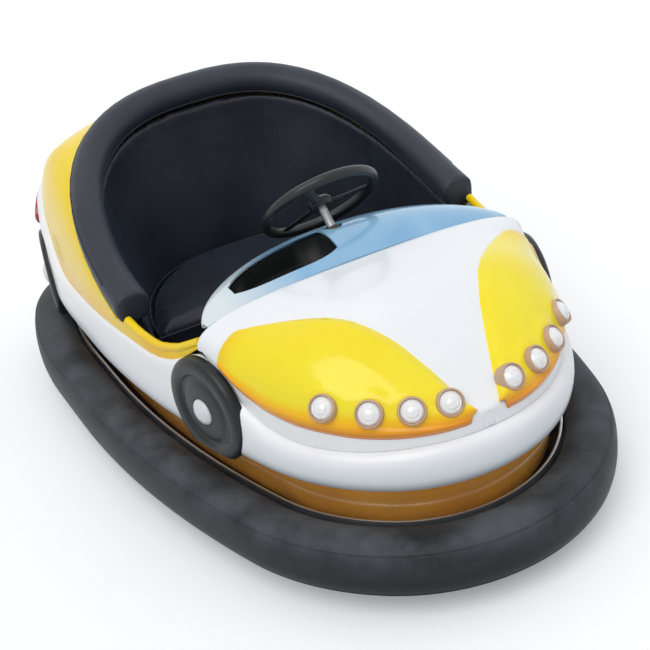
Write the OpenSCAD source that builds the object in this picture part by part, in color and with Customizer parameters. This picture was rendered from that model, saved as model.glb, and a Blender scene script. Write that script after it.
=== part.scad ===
// Bumper car: two-seat fairground car on one steered drive wheel and two rear wheels.
// Millimetres. +X is forward, +Y is the car's left, +Z is up.
// The origin is on the floor, under the centre of the bumper's plan.
// What belongs to the nose is placed from the front end, and what belongs to the tail from the back end.

/* [Plan of the bumper] */
// Length over the bumper
car_length = 1950; // [1850:10:2050]
// Width over the bumper
car_width = 1150; // [1100:10:1200]
// Run of the nose, from the widest place to the front
nose_run = 1133; // [1100:1:1160]
// Run of the tail, from where the side starts to turn in to the back
tail_run = 624; // [600:1:650]
// Radius of the front corners
front_corner_r = 566; // [540:1:600]
// Headings, off straight ahead, at which the front side arc and the front corner end
front_turns = [17, 51.3]; // [10:0.1:60]
// Radius of the rear corners
rear_corner_r = 318; // [300:1:340]
// Headings at which the rear side arc and the rear corner end
rear_turns = [18.7, 70.3]; // [10:0.1:80]

/* [Bumper] */
// Width of the rubber section
bumper_w = 118; // [100:1:130]
// Height of the rubber section
bumper_h = 130; // [110:1:150]
// Height of the rubber's underside above the floor
bumper_z = 50; // [40:1:60]
// Squareness of the section, 2 being an ellipse
bumper_power = 2.7; // [2:0.1:4]
// How far the steel hoop is let into the rubber's back
hoop_let = 2; // [1:0.5:3]
// Thickness of the steel hoop behind the rubber
hoop_t = 6; // [4:1:8]
// Height of the steel hoop
hoop_h = 112; // [90:1:120]

/* [Chassis] */
// Thickness of the steel floor
pan_t = 6; // [4:1:8]
// Height of the steel floor's underside
pan_z = 84; // [80:1:90]
// Upstand ring that carries the body: inset from the plan
upstand_inset = 150; // [146:1:156]
// Width of the upstand ring
upstand_w = 24; // [20:1:30]
// Height of the upstand ring above the steel floor
upstand_h = 70; // [60:1:80]
// Thickness of the folded steel in the upstand ring, rails and brackets
fold_t = 3; // [2:0.5:4]
// Distance of the rails in from the rear wheels' middles
rail_in = 88; // [84:1:92]
// Width of a rail
rail_w = 40; // [36:1:44]
// Height of a rail
rail_h = 30; // [26:1:32]
// How far the rails run on behind the rear axles
rail_tail = 80; // [70:1:90]
// Distance of their front ends behind the bulkhead
rail_nose = 41; // [36:1:50]
// Radius of the floor's opening round the drive unit
drive_hole_r = 190; // [186:1:194]
// Clearance of a wheel from the floor's opening
wheel_gap = 14; // [10:1:18]

/* [Body shell] */
// Thickness of the moulded shell
shell_t = 6; // [5:0.5:7]
// Height of the lip along the lower edge of the white band
lip_z = 250; // [240:1:260]
// Height of the band's upper edge beside the cockpit
sill_z = 412; // [406:1:418]
// Inset of the band's upper edge under the hood
edge_inset = 112; // [106:1:118]
// Inset of the band's upper edge beside the cockpit
sill_inset = 90; // [86:1:96]
// Inset of the band's widest place
belly_inset = 84; // [80:1:90]
// Inset of the lip
lip_inset = 112; // [106:1:116]
// How far the body's tail stands forward of the bumper's bow at the middle
tail_set = 46; // [40:1:50]
// Rise of the lip across the tail
tail_lip = 30; // [24:1:36]
// Rise of the band's upper edge over each tail lamp
brow_rise = 15; // [10:1:18]
// Width of the valley between the tail's two haunches
valley_w = 156; // [140:1:170]
// Distance of the hood's rear edge from the front end
hood_run = 575; // [570:1:580]
// Height of the hood's rear edge at the middle
hood_top = 552; // [546:1:560]
// Squareness of the hood's sections across the car
hood_power = 2.8; // [2.2:0.1:3.4]
// How far the wings stand over the hood at the lamps
wing_rise = 20; // [12:1:26]
// Height of the rolled border of a wing
border_h = 5; // [3:1:7]
// Radius of the rolled edge beside the cockpit
bead_r = 8; // [6:0.5:9]

/* [Seat] */
// Distance of the seat rim's back from the back end
rim_tail = 400; // [396:1:404]
// Run of the seat rim, from its back to its front ends
rim_run = 665; // [650:1:680]
// Distance of the seat rim in from the car's side
rim_side = 85; // [82:1:90]
// Squareness of the seat rim's plan
rim_power = 2.6; // [2.2:0.1:3]
// Height of the rim's top at its front ends
rim_front_z = 512; // [500:1:520]
// Rise of the rim from its front ends to its back
rim_rise = 250; // [230:1:260]
// Width of the padded roll
roll_w = 94; // [84:1:100]
// Height of the padded roll
roll_h = 84; // [76:1:90]
// Distance of the tub's foot in from the seat rim
tub_foot = 118; // [110:1:126]
// Thickness of the tub's pad
tub_t = 9; // [7:1:11]
// Height of the bench cushion's top
bench_z = 300; // [290:1:320]
// Thickness of the bench cushion
bench_t = 100; // [80:1:110]
// Gap between the cushion and the tub
bench_gap = 4; // [2:1:6]
// Run of the box under the cushion
box_run = 375; // [360:1:390]
// Distance of the box in from the cushion's sides
box_side = 79; // [70:1:90]
// Wall of that box
box_t = 4; // [3:1:5]

/* [Cockpit] */
// Distance of the bulkhead behind the hood's rear edge
bulkhead_run = 119; // [115:1:123]
// Height of the bulkhead's top
bulkhead_top = 400; // [390:1:404]
// Thickness of the side liners and the bulkhead
liner_t = 5; // [4:0.5:6]
// Distance between a side liner and the shell outside it
liner_gap = 6; // [5:0.5:8]
// Thickness of the floor mat
mat_t = 4; // [3:1:6]
// Distance of the dash cowl's ends in from the hood's edge
dash_side = 24; // [20:1:28]
// How far the dash cowl reaches behind the hood's rear edge
dash_depth = 186; // [180:1:192]
// Rise of the dash cowl's hump
dash_rise = 42; // [36:1:48]
// Thickness of the dash cowl, its panel and the tray
dash_t = 5; // [4:0.5:6]
// Depth of the tray's floor below the hood's rear edge
tray_depth = 37; // [32:1:42]
// Width of the tray's opening
tray_w = 256; // [246:1:266]
// Height of the dash panel's foot
panel_foot = 410; // [405:1:420]
// Radius of the start button
button_r = 13; // [11:1:15]
// Width of the pedal
pedal_w = 64; // [56:1:70]
// Length of the pedal
pedal_l = 105; // [95:1:110]
// Slope of the pedal
pedal_slope = 38; // [35:1:41]

/* [Steering and drive] */
// Distance of the drive unit's upright axis from the front end
drive_run = 475; // [472:1:478]
// Radius of the drive tyre
drive_r = 100; // [95:1:105]
// Width of the drive tyre
drive_w = 60; // [50:1:64]
// Radius of the drive axle
drive_axle_r = 15; // [12:1:17]
// Lean of the steering column back from upright
column_lean = 45; // [43:0.5:47]
// Height of the joint between the column and the drive unit
knuckle_z = 350; // [345:1:355]
// Distance from that joint up the column to the middle of the steering wheel
column_run = 397; // [385:1:405]
// Distance of the tube's foot up the column from that joint
tube_foot = 62; // [58:1:66]
// Length of the clamp that holds the tube
clamp_l = 60; // [54:1:66]
// Outer radius of the column tube
tube_r = 18; // [16:0.5:20]
// Radius of the shaft in it
shaft_r = 10; // [8:0.5:11]
// Gap between the shaft and the tube
shaft_gap = 2; // [1:0.5:3]
// Outer radius of the steering wheel
wheel_r = 146; // [135:1:155]
// Radius of the steering wheel's rim section
wheel_grip_r = 12; // [10:1:14]
// Height of the bridge that carries the drive unit
bridge_z = 255; // [252:1:258]
// Height of the bridge's beam
bridge_h = 40; // [36:1:44]
// Width of the bridge's beam along the car
bridge_w = 60; // [54:1:66]
// Radius of the fork's upright pin
pivot_r = 20; // [17:1:22]
// Radius of the fork's round top plate
fork_plate_r = 110; // [100:1:115]
// Thickness of the fork's legs
fork_t = 8; // [6:1:10]
// Width of the fork's legs
fork_w = 90; // [80:1:100]
// Gap between the drive tyre and each leg
fork_gap = 8; // [7:1:10]
// Radius of the motor
motor_r = 66; // [60:1:68]
// Length of the motor
motor_l = 112; // [100:1:116]
// Height of the motor's axis
motor_z = 138; // [134:1:142]
// Clearance all round a pin in its bore
pin_gap = 0.3; // [0.2:0.05:0.5]

/* [Rear wheels] */
// Distance of the rear axles from the back end
rear_run = 415; // [405:1:425]
// Distance of each rear wheel in from the car's side
rear_side = 257; // [250:1:264]
// Radius of the rear tyres
rear_r = 80; // [76:1:83]
// Width of the rear tyres
rear_w = 45; // [40:1:50]
// Radius of the fixed pins
rear_pin_r = 10; // [8:1:12]
// Gap between a rear tyre and each ear
ear_gap = 8; // [6:1:10]
// Thickness of the ears
ear_t = 6; // [5:1:8]
// Width of the ears along the car
ear_w = 68; // [60:1:74]
// Height of the ears
ear_h = 84; // [78:1:90]
// How far they hang under the steel floor
ear_drop = 26; // [22:1:30]

/* [Trim] */
// Radius of the dummy wheels in the body side
dummy_r = 122; // [116:1:125]
// Height of the front pair's centres
dummy_z = 348; // [344:1:352]
// Height of the rear pair's centres
dummy_rear_z = 308; // [306:1:312]
// Distance of the front pair from the front end
dummy_front_run = 563; // [558:1:568]
// Distance of the rear pair from the back end
dummy_rear_run = 375; // [370:1:380]
// Inset of the pocket behind them
pocket_inset = 104; // [102:1:106]
// Radius of their caps
cap_r = 30; // [26:1:32]
// Radius of a headlamp's lens
lamp_r = 24; // [22:1:26]
// Depth of a headlamp's shell behind its rim
lamp_depth = 24; // [22:1:26]
// Tilt of the headlamps up from straight ahead
lamp_tilt = 34; // [30:1:38]
// Height of the tail lamps' middle
tail_lamp_z = 436; // [432:1:440]
// Half the height of a tail lamp
tail_lamp_h = 64; // [58:1:66]
// Distance of the pole socket's axis from the back end
pole_run = 281; // [278:1:284]
// Height of the socket's mouth
socket_top = 690; // [686:1:696]
// Radius of the socket's bore
socket_r = 21; // [18:0.5:22]
// Depth of the bore
socket_depth = 95; // [85:1:105]
// Length and width of the socket's block
socket_block = [72, 84]; // [66:1:90]
// Height of that block
socket_h = 120; // [112:1:124]

/* [Hidden] */
$fn = 48;
// Gap between a piece and the one it is seated on
seat_gap = 0.3;
// Run-through of a cutting tool, and a height over the whole car for such tools
over = 1;
sky = 900;
half_l = car_length / 2;
half_w = car_width / 2;
function ahead(d) = half_l - d;
function behind(d) = d - half_l;
pan_top = pan_z + pan_t;
hoop_inset = bumper_w - hoop_let;
hoop_z = bumper_z + (bumper_h - hoop_h) / 2;
upstand_top = pan_top + upstand_h;
hood_rear_x = ahead(hood_run);
bulkhead_x = hood_rear_x - bulkhead_run;
drive_x = ahead(drive_run);
rim_front_x = behind(rim_tail) + rim_run;
rim_half_w = half_w - rim_side;
rear_x = behind(rear_run);
rear_y = half_w - rear_side;
rail_y = rear_y - rail_in;
ear_in = rear_w / 2 + ear_gap;

// Plan outline. A quarter is three arcs; the middle one is given and the outer two close it.
function end_radii(run, a, b, r) =
    let (u = run - r * (sin(b) - sin(a)), v = half_w - r * (cos(a) - cos(b)),
         d = sin(a) * cos(b) - (1 - sin(b)) * (1 - cos(a)))
    [(u * cos(b) - v * (1 - sin(b))) / d, (v * sin(a) - u * (1 - cos(a))) / d];
// The arcs of one quarter as [centre x, centre y, radius, first heading, last heading]
function quarter(x0, run, turns, r, s) =
    let (a = turns[0], b = turns[1], e = end_radii(run, a, b, r),
         c1 = [x0, half_w - e[0]],
         c2 = c1 + (e[0] - r) * [s * sin(a), cos(a)],
         c3 = c2 + (r - e[1]) * [s * sin(b), cos(b)])
    [[c1.x, c1.y, e[0], 0, s * a], [c2.x, c2.y, r, s * a, s * b], [c3.x, c3.y, e[1], s * b, s * 90]];
wide_x = half_l - nose_run;
turn_x = tail_run - half_l;
front_arcs = quarter(wide_x, nose_run, front_turns, front_corner_r, 1);
rear_arcs = quarter(turn_x, tail_run, rear_turns, rear_corner_r, -1);

// A point of the left outline, inset by o, for a station [centre x, centre y, radius, heading]
function at(st, o) = [st[0] + (st[2] - o) * sin(st[3]), st[1] + (st[2] - o) * cos(st[3])];
function steps(arc, n, last) = [for (k = [0 : n - (last ? 0 : 1)])
    [arc[0], arc[1], arc[2], arc[3] + (arc[4] - arc[3]) * k / n]];
// Stations on the left side, from the nose back to the tail
nose_stations = concat(steps(front_arcs[0], 6, false), steps(front_arcs[1], 6, false),
    steps(front_arcs[2], 5, true));
tail_stations = concat(steps(rear_arcs[0], 3, false), steps(rear_arcs[1], 6, false),
    steps(rear_arcs[2], 5, true));
left_stations = concat([for (k = [len(nose_stations) - 1 : -1 : 0]) nose_stations[k]], tail_stations);

// The area inside the plan, inset by o, as a plate of the given thickness
module plan_plate(o, t) {
    pts = [for (s = left_stations) at(s, o)];
    n = len(pts);
    linear_extrude(t) polygon(concat(pts, [for (k = [n - 2 : -1 : 1]) [pts[k].x, -pts[k].y]]));
}

// Soft lookup in a table of [place, value] rows
function soft(x, table, w) = (lookup(x - w, table) + 2 * lookup(x - w / 2, table)
    + 2 * lookup(x, table) + 2 * lookup(x + w / 2, table) + lookup(x + w, table)) / 8;
function mix(a, b, t) = a + (b - a) * t;
function bow(a, b, c, t) = mix(mix(a, b, t), mix(b, c, t), t);

// Closed solid between an outer and an inner grid of points, rows by columns
module grid_solid(outer, inner) {
    r = len(outer);
    c = len(outer[0]);
    n = r * c;
    pts = concat([for (row = outer) for (p = row) p], [for (row = inner) for (p = row) p]);
    skin = [for (i = [0 : r - 2]) for (j = [0 : c - 2]) for (f = [
        [i * c + j, i * c + j + 1, (i + 1) * c + j + 1], [i * c + j, (i + 1) * c + j + 1, (i + 1) * c + j]])
        f];
    back = [for (f = skin) [f[2] + n, f[1] + n, f[0] + n]];
    edge = concat([for (j = [0 : c - 1]) j], [for (i = [1 : r - 1]) i * c + c - 1],
        [for (j = [c - 2 : -1 : 0]) (r - 1) * c + j], [for (i = [r - 2 : -1 : 1]) i * c]);
    m = len(edge);
    rim = [for (k = [0 : m - 1]) let (a = edge[k], b = edge[(k + 1) % m])
        for (f = [[b, a, a + n], [b, a + n, b + n]]) f];
    polyhedron(pts, concat(skin, back, rim));
}
// Closed ring through sections that are all loops of the same number of points
module loop_solid(rings, closed) {
    r = len(rings);
    c = len(rings[0]);
    pts = [for (row = rings) for (p = row) p];
    skin = [for (i = [0 : r - (closed ? 1 : 2)]) for (j = [0 : c - 1])
        let (a = i * c + j, b = i * c + (j + 1) % c,
            d = ((i + 1) % r) * c + j, e = ((i + 1) % r) * c + (j + 1) % c)
        for (f = [[e, b, a], [d, e, a]]) f];
    ends = closed ? [] : [[for (j = [0 : c - 1]) j], [for (j = [c - 1 : -1 : 0]) (r - 1) * c + j]];
    polyhedron(pts, concat(skin, ends));
}
function flip(p) = [p.x, -p.y, p.z];
// A left half given from nose to tail, made into the whole way round
function all_round(half) = concat(half, [for (k = [len(half) - 2 : -1 : 1]) [for (p = half[k]) flip(p)]]);
function both_sides(half) = concat([for (k = [len(half) - 1 : -1 : 1]) [for (p = half[k]) flip(p)]], half);

// Ring round the whole plan with one section, given as [inset, height] points
module ring(section) {
    loop_solid(all_round([for (s = left_stations)
        [for (q = section) let (a = at(s, q[0])) [a.x, a.y, q[1]]]]), true);
}
// Rectangle as a section for a ring: inset, height, width, height of its side
function bar(o, z, w, h) = [[o, z + h], [o, z], [o + w, z], [o + w, z + h]];

// Height of the band's upper edge over the sill: rows of [distance from the end, rise], tail and nose
tail_edge = [[-5, 94], [220, 94], [290, 84], [375, 56], [475, 4], [560, -24], [640, -34], [775, -14]];
nose_edge = [[875, 0], [735, 0], [645, 23], [580, 80], [550, 72], [520, 24], [475, -14], [405, -46],
    [315, -64], [215, -64], [115, -52], [-5, -50]];
band_top = concat([for (r = tail_edge) [behind(r[0]), sill_z + r[1]]],
    [for (r = nose_edge) [ahead(r[0]), sill_z + r[1]]]);
// Inset of that edge, as [place, inset]
band_inset = [[behind(-5), edge_inset - 4], [behind(495), edge_inset - 4], [behind(775), sill_inset],
    [ahead(695), sill_inset], [hood_rear_x, edge_inset], [ahead(-5), edge_inset]];
// The hood along the middle plane: rows of [distance from the front end, rise over its rear edge]
hood_fall = [[625, 0], [575, 0], [505, 9], [395, 11], [325, -7], [272, -36], [215, -76], [170, -113],
    [125, -146], [95, -168], [55, -186]];
hood_line = [for (r = hood_fall) [ahead(r[0]), hood_top + r[1]]];
function edge_z(x) = soft(x, band_top, 24);
function edge_o(x) = soft(x, band_inset, 80);
// Across the tail the body stands forward of the plan, its lip rises, and a brow lies over each lamp
function tail_in(st) = tail_set * max(0, (-sin(st[3]) - 0.6) / 0.4);
function lip_at(st) = lip_z + tail_lip * min(1, max(0, (-sin(st[3]) - 0.25) / 0.45));
function brow(st) = brow_rise * lookup(-st[3], [[20, 0], [50, 1], [74.5, 1], [78.5, 0]]);
function edge_o_at(st) = edge_o(at(st, sill_inset).x) + tail_in(st);
function edge_at(st) = at(st, edge_o_at(st));
function edge_z_at(st) = edge_z(edge_at(st).x) + brow(st);
function hood_z(x) = soft(x, hood_line, 30);
function hood_at(x, y, w, t) = let (e = edge_z(x), v = min(1, abs(y) / max(w, 1)))
    e + (hood_z(x) - t - e) * pow(max(0, 1 - pow(v, hood_power)), 1 / hood_power);
// A station of the front side arc at a given place along the car
function side_station(x) = let (a = front_arcs[0])
    [a[0], a[1], a[2], asin((x - a[0]) / (a[2] - sill_inset))];
// A station of the front arcs at a given heading
function front_station(h) =
    let (a = front_arcs[h > front_turns[1] ? 2 : h > front_turns[0] ? 1 : 0]) [a[0], a[1], a[2], h];

// Bumper and chassis
bumper_section = [for (a = [90 : -22.5 : -247.5])
    [min(hoop_inset, bumper_w / 2 * (1 - sign(cos(a)) * pow(abs(cos(a)), 2 / bumper_power))),
     bumper_z + bumper_h / 2 * (1 + sign(sin(a)) * pow(abs(sin(a)), 2 / bumper_power))]];
module bumper_ring() {
    color("#34393e") ring(bumper_section);
}
module bumper_hoop() {
    color("#8f9296") ring(bar(hoop_inset, hoop_z, hoop_t, hoop_h));
}
module chassis_pan() {
    opening = 2 * (ear_in + wheel_gap - 2);
    color("#2b2d30") difference() {
        translate([0, 0, pan_z]) plan_plate(hoop_inset + hoop_t + seat_gap, pan_t);
        translate([drive_x, 0, pan_z - over]) cylinder(r = drive_hole_r, h = pan_t + 2 * over);
        for (s = [-1, 1])
            translate([rear_x - rear_r - wheel_gap, s * rear_y - opening / 2, pan_z - over])
                cube([2 * (rear_r + wheel_gap), opening, pan_t + 2 * over]);
    }
}
module chassis_rails() {
    back = rear_x - rail_tail;
    front = bulkhead_x - rail_nose;
    inner_y = rail_y - rail_w / 2;
    color("#3a3d41") translate([0, 0, pan_z - rail_h]) {
        for (s = [-1, 1]) translate([back, s * rail_y, 0]) rotate([90, 0, 90]) difference() {
            translate([-rail_w / 2, 0, 0]) cube([rail_w, rail_h, front - back]);
            translate([-rail_w / 2 + fold_t, fold_t, -over])
                cube([rail_w - 2 * fold_t, rail_h - 2 * fold_t, front - back + 2 * over]);
        }
        for (x = [rear_x + 10, front - rail_h])
            translate([x, -inner_y, 0]) cube([rail_h, 2 * inner_y, rail_h]);
    }
}
module body_upstand() {
    color("#3a3d41") ring([[upstand_inset, upstand_top], [upstand_inset, pan_top],
        [upstand_inset + upstand_w, pan_top], [upstand_inset + upstand_w, pan_top + fold_t],
        [upstand_inset + fold_t, pan_top + fold_t], [upstand_inset + fold_t, upstand_top]]);
}

// Lower body and the white band
dummy_front_x = ahead(dummy_front_run);
dummy_rear_x = behind(dummy_rear_run);
module on_side(x, face) {
    z = x > 0 ? dummy_z : dummy_rear_z;
    a = x > 0 ? front_arcs[0] : rear_arcs[0];
    h = asin((x - a[0]) / (a[2] - sill_inset));
    p = at([a[0], a[1], a[2], h], face);
    translate([p.x, p.y, z]) rotate([0, 0, -h]) rotate([-90, 0, 0]) children();
}
module dummy_pockets() {
    for (m = [0, 1]) mirror([0, m, 0]) for (x = [dummy_front_x, dummy_rear_x])
        on_side(x, pocket_inset) cylinder(r = dummy_r + seat_gap, h = pocket_inset + 56);
}
module lower_skirt() {
    hang = upstand_inset - shell_t;
    color("#f0a50f") loop_solid(all_round([for (s = left_stations)
        let (z = lip_at(s), top = lip_inset + 4 + seat_gap + tail_in(s), e = tail_in(s) / 2,
             low = lip_inset + 12 + e)
        [for (q = [[top, z + 8], [top + 0.2, z - 4], [low, z - 30],
            [hang, upstand_top + 6], [hang, upstand_top - 14], [upstand_inset, upstand_top - 14],
            [upstand_inset, upstand_top + 7], [low + shell_t, z - 30], [top + shell_t + 0.7, z + 8]])
            let (a = at(s, q[0])) [a.x, a.y, q[1]]]]), true);
}
// Section of the band: outside down to the lip, then back up inside
function section_band(st) =
    let (z = edge_z_at(st), o = edge_o_at(st), e = tail_in(st), lip = lip_at(st), foot = lip_inset + e,
         mid = lip + 48, b = belly_inset + e + min(0, o - e - 96) * 0.5, c = mix(o, b, 0.62))
    [for (q = [[o, z], [c, z - 6], [b + 1, z - 20], [b, mid], [b + 5, lip + 22],
        [foot - 8, lip + 4], [foot, lip], [foot + 4, lip + 4],
        [b + shell_t + 6, lip + 26], [b + shell_t, mid], [b + shell_t + 1, z - 23],
        [c + 3, z - 12], [o + shell_t, z - 6], [o + shell_t, z]])
        let (a = at(st, q[0])) [a.x, a.y, q[1]]];
// The band's upper edge with a gap all round it, as a tool for what is seated on it
module band_crown(gap) {
    loop_solid(all_round([for (s = left_stations) let (o = edge_o_at(s), z = edge_z_at(s))
        [for (q = [[o - 10, z + gap], [o - 10, z - 20],
            [o + shell_t + 2, z - 20], [o + shell_t + 2, z + gap]])
            let (a = at(s, q[0])) [a.x, a.y, q[1]]]]), true);
}
module body_band() {
    color("#f2f3f4") difference() {
        loop_solid(all_round([for (s = left_stations) section_band(s)]), true);
        dummy_pockets();
    }
}

// Hood and wings: lofted sections across the car, each as wide as the band's edge there
hood_rows = concat([[hood_rear_x, edge_at(side_station(hood_rear_x)).y]],
    [for (s = nose_stations) let (p = edge_at(s)) if (p.x > hood_rear_x + 20 && p.y > 12) [p.x, p.y]],
    [[ahead(edge_inset) - 0.5, 9]]);
hood_half_w = hood_rows[0][1];
// The nose is closed by rows as [distance ahead of the last row, share of its width, share of its height]
nose_close = [[1.4, 0.9, 0.75], [2.2, 0.7, 0.4], [2.5, 0.5, 0.08]];
function hood_row(q, t, turns) = [for (k = turns) let (y = sin(k * 10) * (q[1] - t))
    [q[0] - t * 0.5, y, hood_at(q[0], y, q[1] - t, t)]];
function hood_grid(t, rows, turns) = concat([for (q = rows) hood_row(q, t, turns)],
    [for (c = nose_close) let (q = hood_rows[len(hood_rows) - 1], z = edge_z(q[0])) if (len(rows) > 3)
        [for (p = hood_row(q, t, turns)) [p.x + c[0] - t * 0.3, p.y * c[1], z + (p.z - z) * c[2]]]]);
all_turns = [for (k = [-9 : 9]) k];
module hood() {
    color("#f2f3f4") difference() {
        grid_solid(hood_grid(0, hood_rows, all_turns), hood_grid(shell_t, hood_rows, all_turns));
        band_crown(seat_gap);
        lamp_pockets();
    }
}
// The space above the hood's rear edge, from a gap under it upwards
module above_hood(gap) {
    low = hood_grid(shell_t + gap, [for (k = [0 : 2]) hood_rows[k]], all_turns);
    grid_solid([for (r = low) [for (p = r) [p.x, p.y, sky]]], low);
}
// The space under one side of the hood, from a gap over it down to the lip
module hood_fill(s, gap) {
    high = hood_grid(-gap, hood_rows, s > 0 ? [for (k = [0 : 9]) k] : [for (k = [-9 : 0]) k]);
    grid_solid(high, [for (r = high) [for (p = r) [p.x, p.y, lip_z]]]);
}
// Inner edge of a wing, as [distance from the front end, distance from the middle plane]
wing_inner = [[557, 402], [535, 350], [475, 262], [415, 196], [355, 145], [275, 96], [195, 58],
    [135, 36], [97, 24]];
wing_edge = [for (r = wing_inner) [ahead(r[0]), r[1]]];
// Share of the wing's rise, as [distance from the front end, share]
wing_shares = [[557, 0.3], [415, 0.6], [275, 1], [95, 1]];
wing_share = [for (r = wing_shares) [ahead(r[0]), r[1]]];
wing_rows = [for (q = hood_rows) if (q[0] > hood_rear_x + 10 && q[0] < ahead(edge_inset) - 4) q];
wing_cols = 12;
function wing_w(k) = 1 - pow(1 - k / wing_cols, 1.3);
function wing_lift(x, w) = wing_rise * lookup(x, wing_share) * mix(0.75, 1, min(1, w * 3));
function border(w) = border_h * exp(-pow((w - 0.93) / 0.045, 2));
function wing_y(q, k) = mix(min(lookup(q[0], wing_edge), q[1] - 4), q[1], sin(wing_w(k) * 90));
function wing_outer(q, k) = let (w = wing_w(k), y = wing_y(q, k), last = k == wing_cols,
    b = last ? 0 : border(w), rise = k == 0 ? 0.15 : last ? 0.15 : 1)
    [q[0] + (last ? 3 : 6) * w + b * 0.8, y + (last ? 2 : 5 * w) + b * 0.7,
     hood_at(q[0], y, q[1] + 1, 0) + wing_lift(q[0], w) * rise];
function wing_inside(q, k) = let (y = wing_y(q, k))
    [q[0] - 1, y - 1, hood_at(q[0], y - 1, q[1], shell_t) - 3];
module wing(s) {
    outer = [for (q = wing_rows) [for (k = [0 : wing_cols]) let (p = wing_outer(q, k)) [p.x, s * p.y, p.z]]];
    inner = [for (q = wing_rows) [for (k = [0 : wing_cols]) let (p = wing_inside(q, k)) [p.x, s * p.y, p.z]]];
    color("#f2e21a") difference() {
        if (s > 0) grid_solid(outer, inner); else grid_solid(inner, outer);
        hood_fill(s, seat_gap);
        band_crown(seat_gap);
        lamp_pockets();
    }
}
module wing_left() { wing(1); }
module wing_right() { wing(-1); }

// Seat rim and rear cowl: the angle runs from 0 at the rim's front ends to 90 at its back
function rim_plan(a, inset) = [rim_front_x - (rim_run - inset) * pow(sin(a), 2 / rim_power),
    (rim_half_w - inset) * pow(max(0, cos(a)), 2 / rim_power)];
function rim_top(a) = rim_front_z + rim_rise * pow(pow(sin(a), 2 / rim_power), 1.2);
rim_angles = [0, 10, 20, 30, 40, 50, 60, 68, 76, 83, 90];
function roll_section(a, gap) = let (c = rim_plan(a, roll_w / 2), d = rim_plan(a, 0) - c,
    n = d / max(1, norm(d)), e = a == 0 ? [0, 1] : a == 90 ? [-1, 0] : n)
    [for (k = [0 : 30 : 330]) let (w = (roll_w / 2 + gap) * cos(k), h = (roll_h / 2 + gap) * sin(k))
        [c.x + e.x * w, c.y + e.y * w, rim_top(a) - roll_h / 2 + h]];
module rim_roll(gap) {
    half = [for (a = rim_angles) roll_section(a, gap)];
    n = len(half);
    loop_solid(concat([for (k = [0 : n - 2]) [for (p = half[k]) flip(p)]],
        [for (k = [n - 1 : -1 : 0]) half[k]]), false);
}
module rim_pad() {
    color("#2c3038") rim_roll(0);
}
// The strip beside the cockpit: rise over the sill by share of the way from the rim's end to the hood
side_strip = [[-0.1, 50], [0, 44], [0.19, 32], [0.48, 28], [0.74, 50], [1, 94]];
rim_strip = [for (r = side_strip) [mix(rim_front_x, hood_rear_x, r[0]), sill_z + r[1]]];
cowl_stations = concat([for (k = [8 : -1 : 0]) side_station(mix(wide_x, hood_rear_x - 4, k / 8))],
    tail_stations);
cowl_plan = [for (s = cowl_stations) at(s, 0)];
cowl_steps = [for (k = [0 : len(cowl_plan) - 1]) k == 0 ? 0 : norm(cowl_plan[k] - cowl_plan[k - 1])];
function sum_to(list, k) = k == 0 ? list[0] : list[k] + sum_to(list, k - 1);
cowl_run = [for (k = [0 : len(cowl_steps) - 1]) sum_to(cowl_steps, k)];
cowl_end = cowl_run[len(cowl_run) - 1];
cowl_start = lookup(-rim_front_x, [for (k = [0 : len(cowl_run) - 1]) [-cowl_plan[k].x, cowl_run[k]]]);
function cowl_angle(k) = 90 * max(0, (cowl_run[k] - cowl_start) / (cowl_end - cowl_start));
// A row of the cowl from the band's edge up to the rim, bowed outwards. Towards the tail the bow fills
// out into a haunch, and at the middle it falls into the valley that holds the pole socket.
function cowl_row(k, t) = let (st = cowl_stations[k], o = edge_o_at(st), lo = at(st, o + t),
    a = cowl_angle(k), up = a > 0 ? rim_plan(a, 13 + t) : at(st, o + 5 + t),
    z = a > 0 ? rim_top(a) - roll_h + 8 : soft(up.x, rim_strip, 20),
    z0 = edge_z(lo.x) + brow(st),
    low = st[3] < 0 ? exp(-pow(2 * lo.y / valley_w, 4)) : 0, full = sin(a) * (1 - low),
    m = mix(lo, up, 0.3 - 0.18 * full + 0.1 * low))
    [for (j = [0 : 5]) bow([lo.x, lo.y, z0 + 0.5],
        [m.x, m.y, z0 + (0.82 + 0.26 * full - 0.32 * low) * (z - z0)], [up.x, up.y, z], j / 5)];
function cowl_grid(t) = both_sides([for (k = [len(cowl_stations) - 1 : -1 : 0]) cowl_row(k, t)]);
// The rolled edge along the strip
module edge_bead(gap) {
    tops = [for (k = [0 : 8]) if (cowl_row(k, 0)[5].x > rim_front_x - 30) cowl_row(k, 0)[5]];
    for (s = [-1, 1]) loop_solid([for (p = tops) [for (j = [0 : 45 : 315])
        [p.x, s * (p.y - 3 + (bead_r + gap) * cos(j)), p.z - 1 - s * (bead_r + gap) * sin(j)]]], false);
}
module rear_cowl() {
    color("#f2d516") difference() {
        union() {
            grid_solid(cowl_grid(shell_t), cowl_grid(0));
            edge_bead(0);
        }
        band_crown(seat_gap);
        rim_roll(seat_gap);
        pole_block(seat_gap);
    }
}
// Socket for the current pole, behind the seat
socket_x = behind(pole_run);
module pole_block(gap) {
    size = [socket_block[0] + 2 * gap, socket_block[1] + 2 * gap, socket_h + gap];
    translate([socket_x - size.x / 2, -size.y / 2, socket_top - socket_h]) cube(size);
}
module pole_socket() {
    color("#1d1f22") difference() {
        pole_block(0);
        translate([socket_x, 0, socket_top - socket_depth]) cylinder(r = socket_r, h = socket_depth + over);
    }
}

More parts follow.
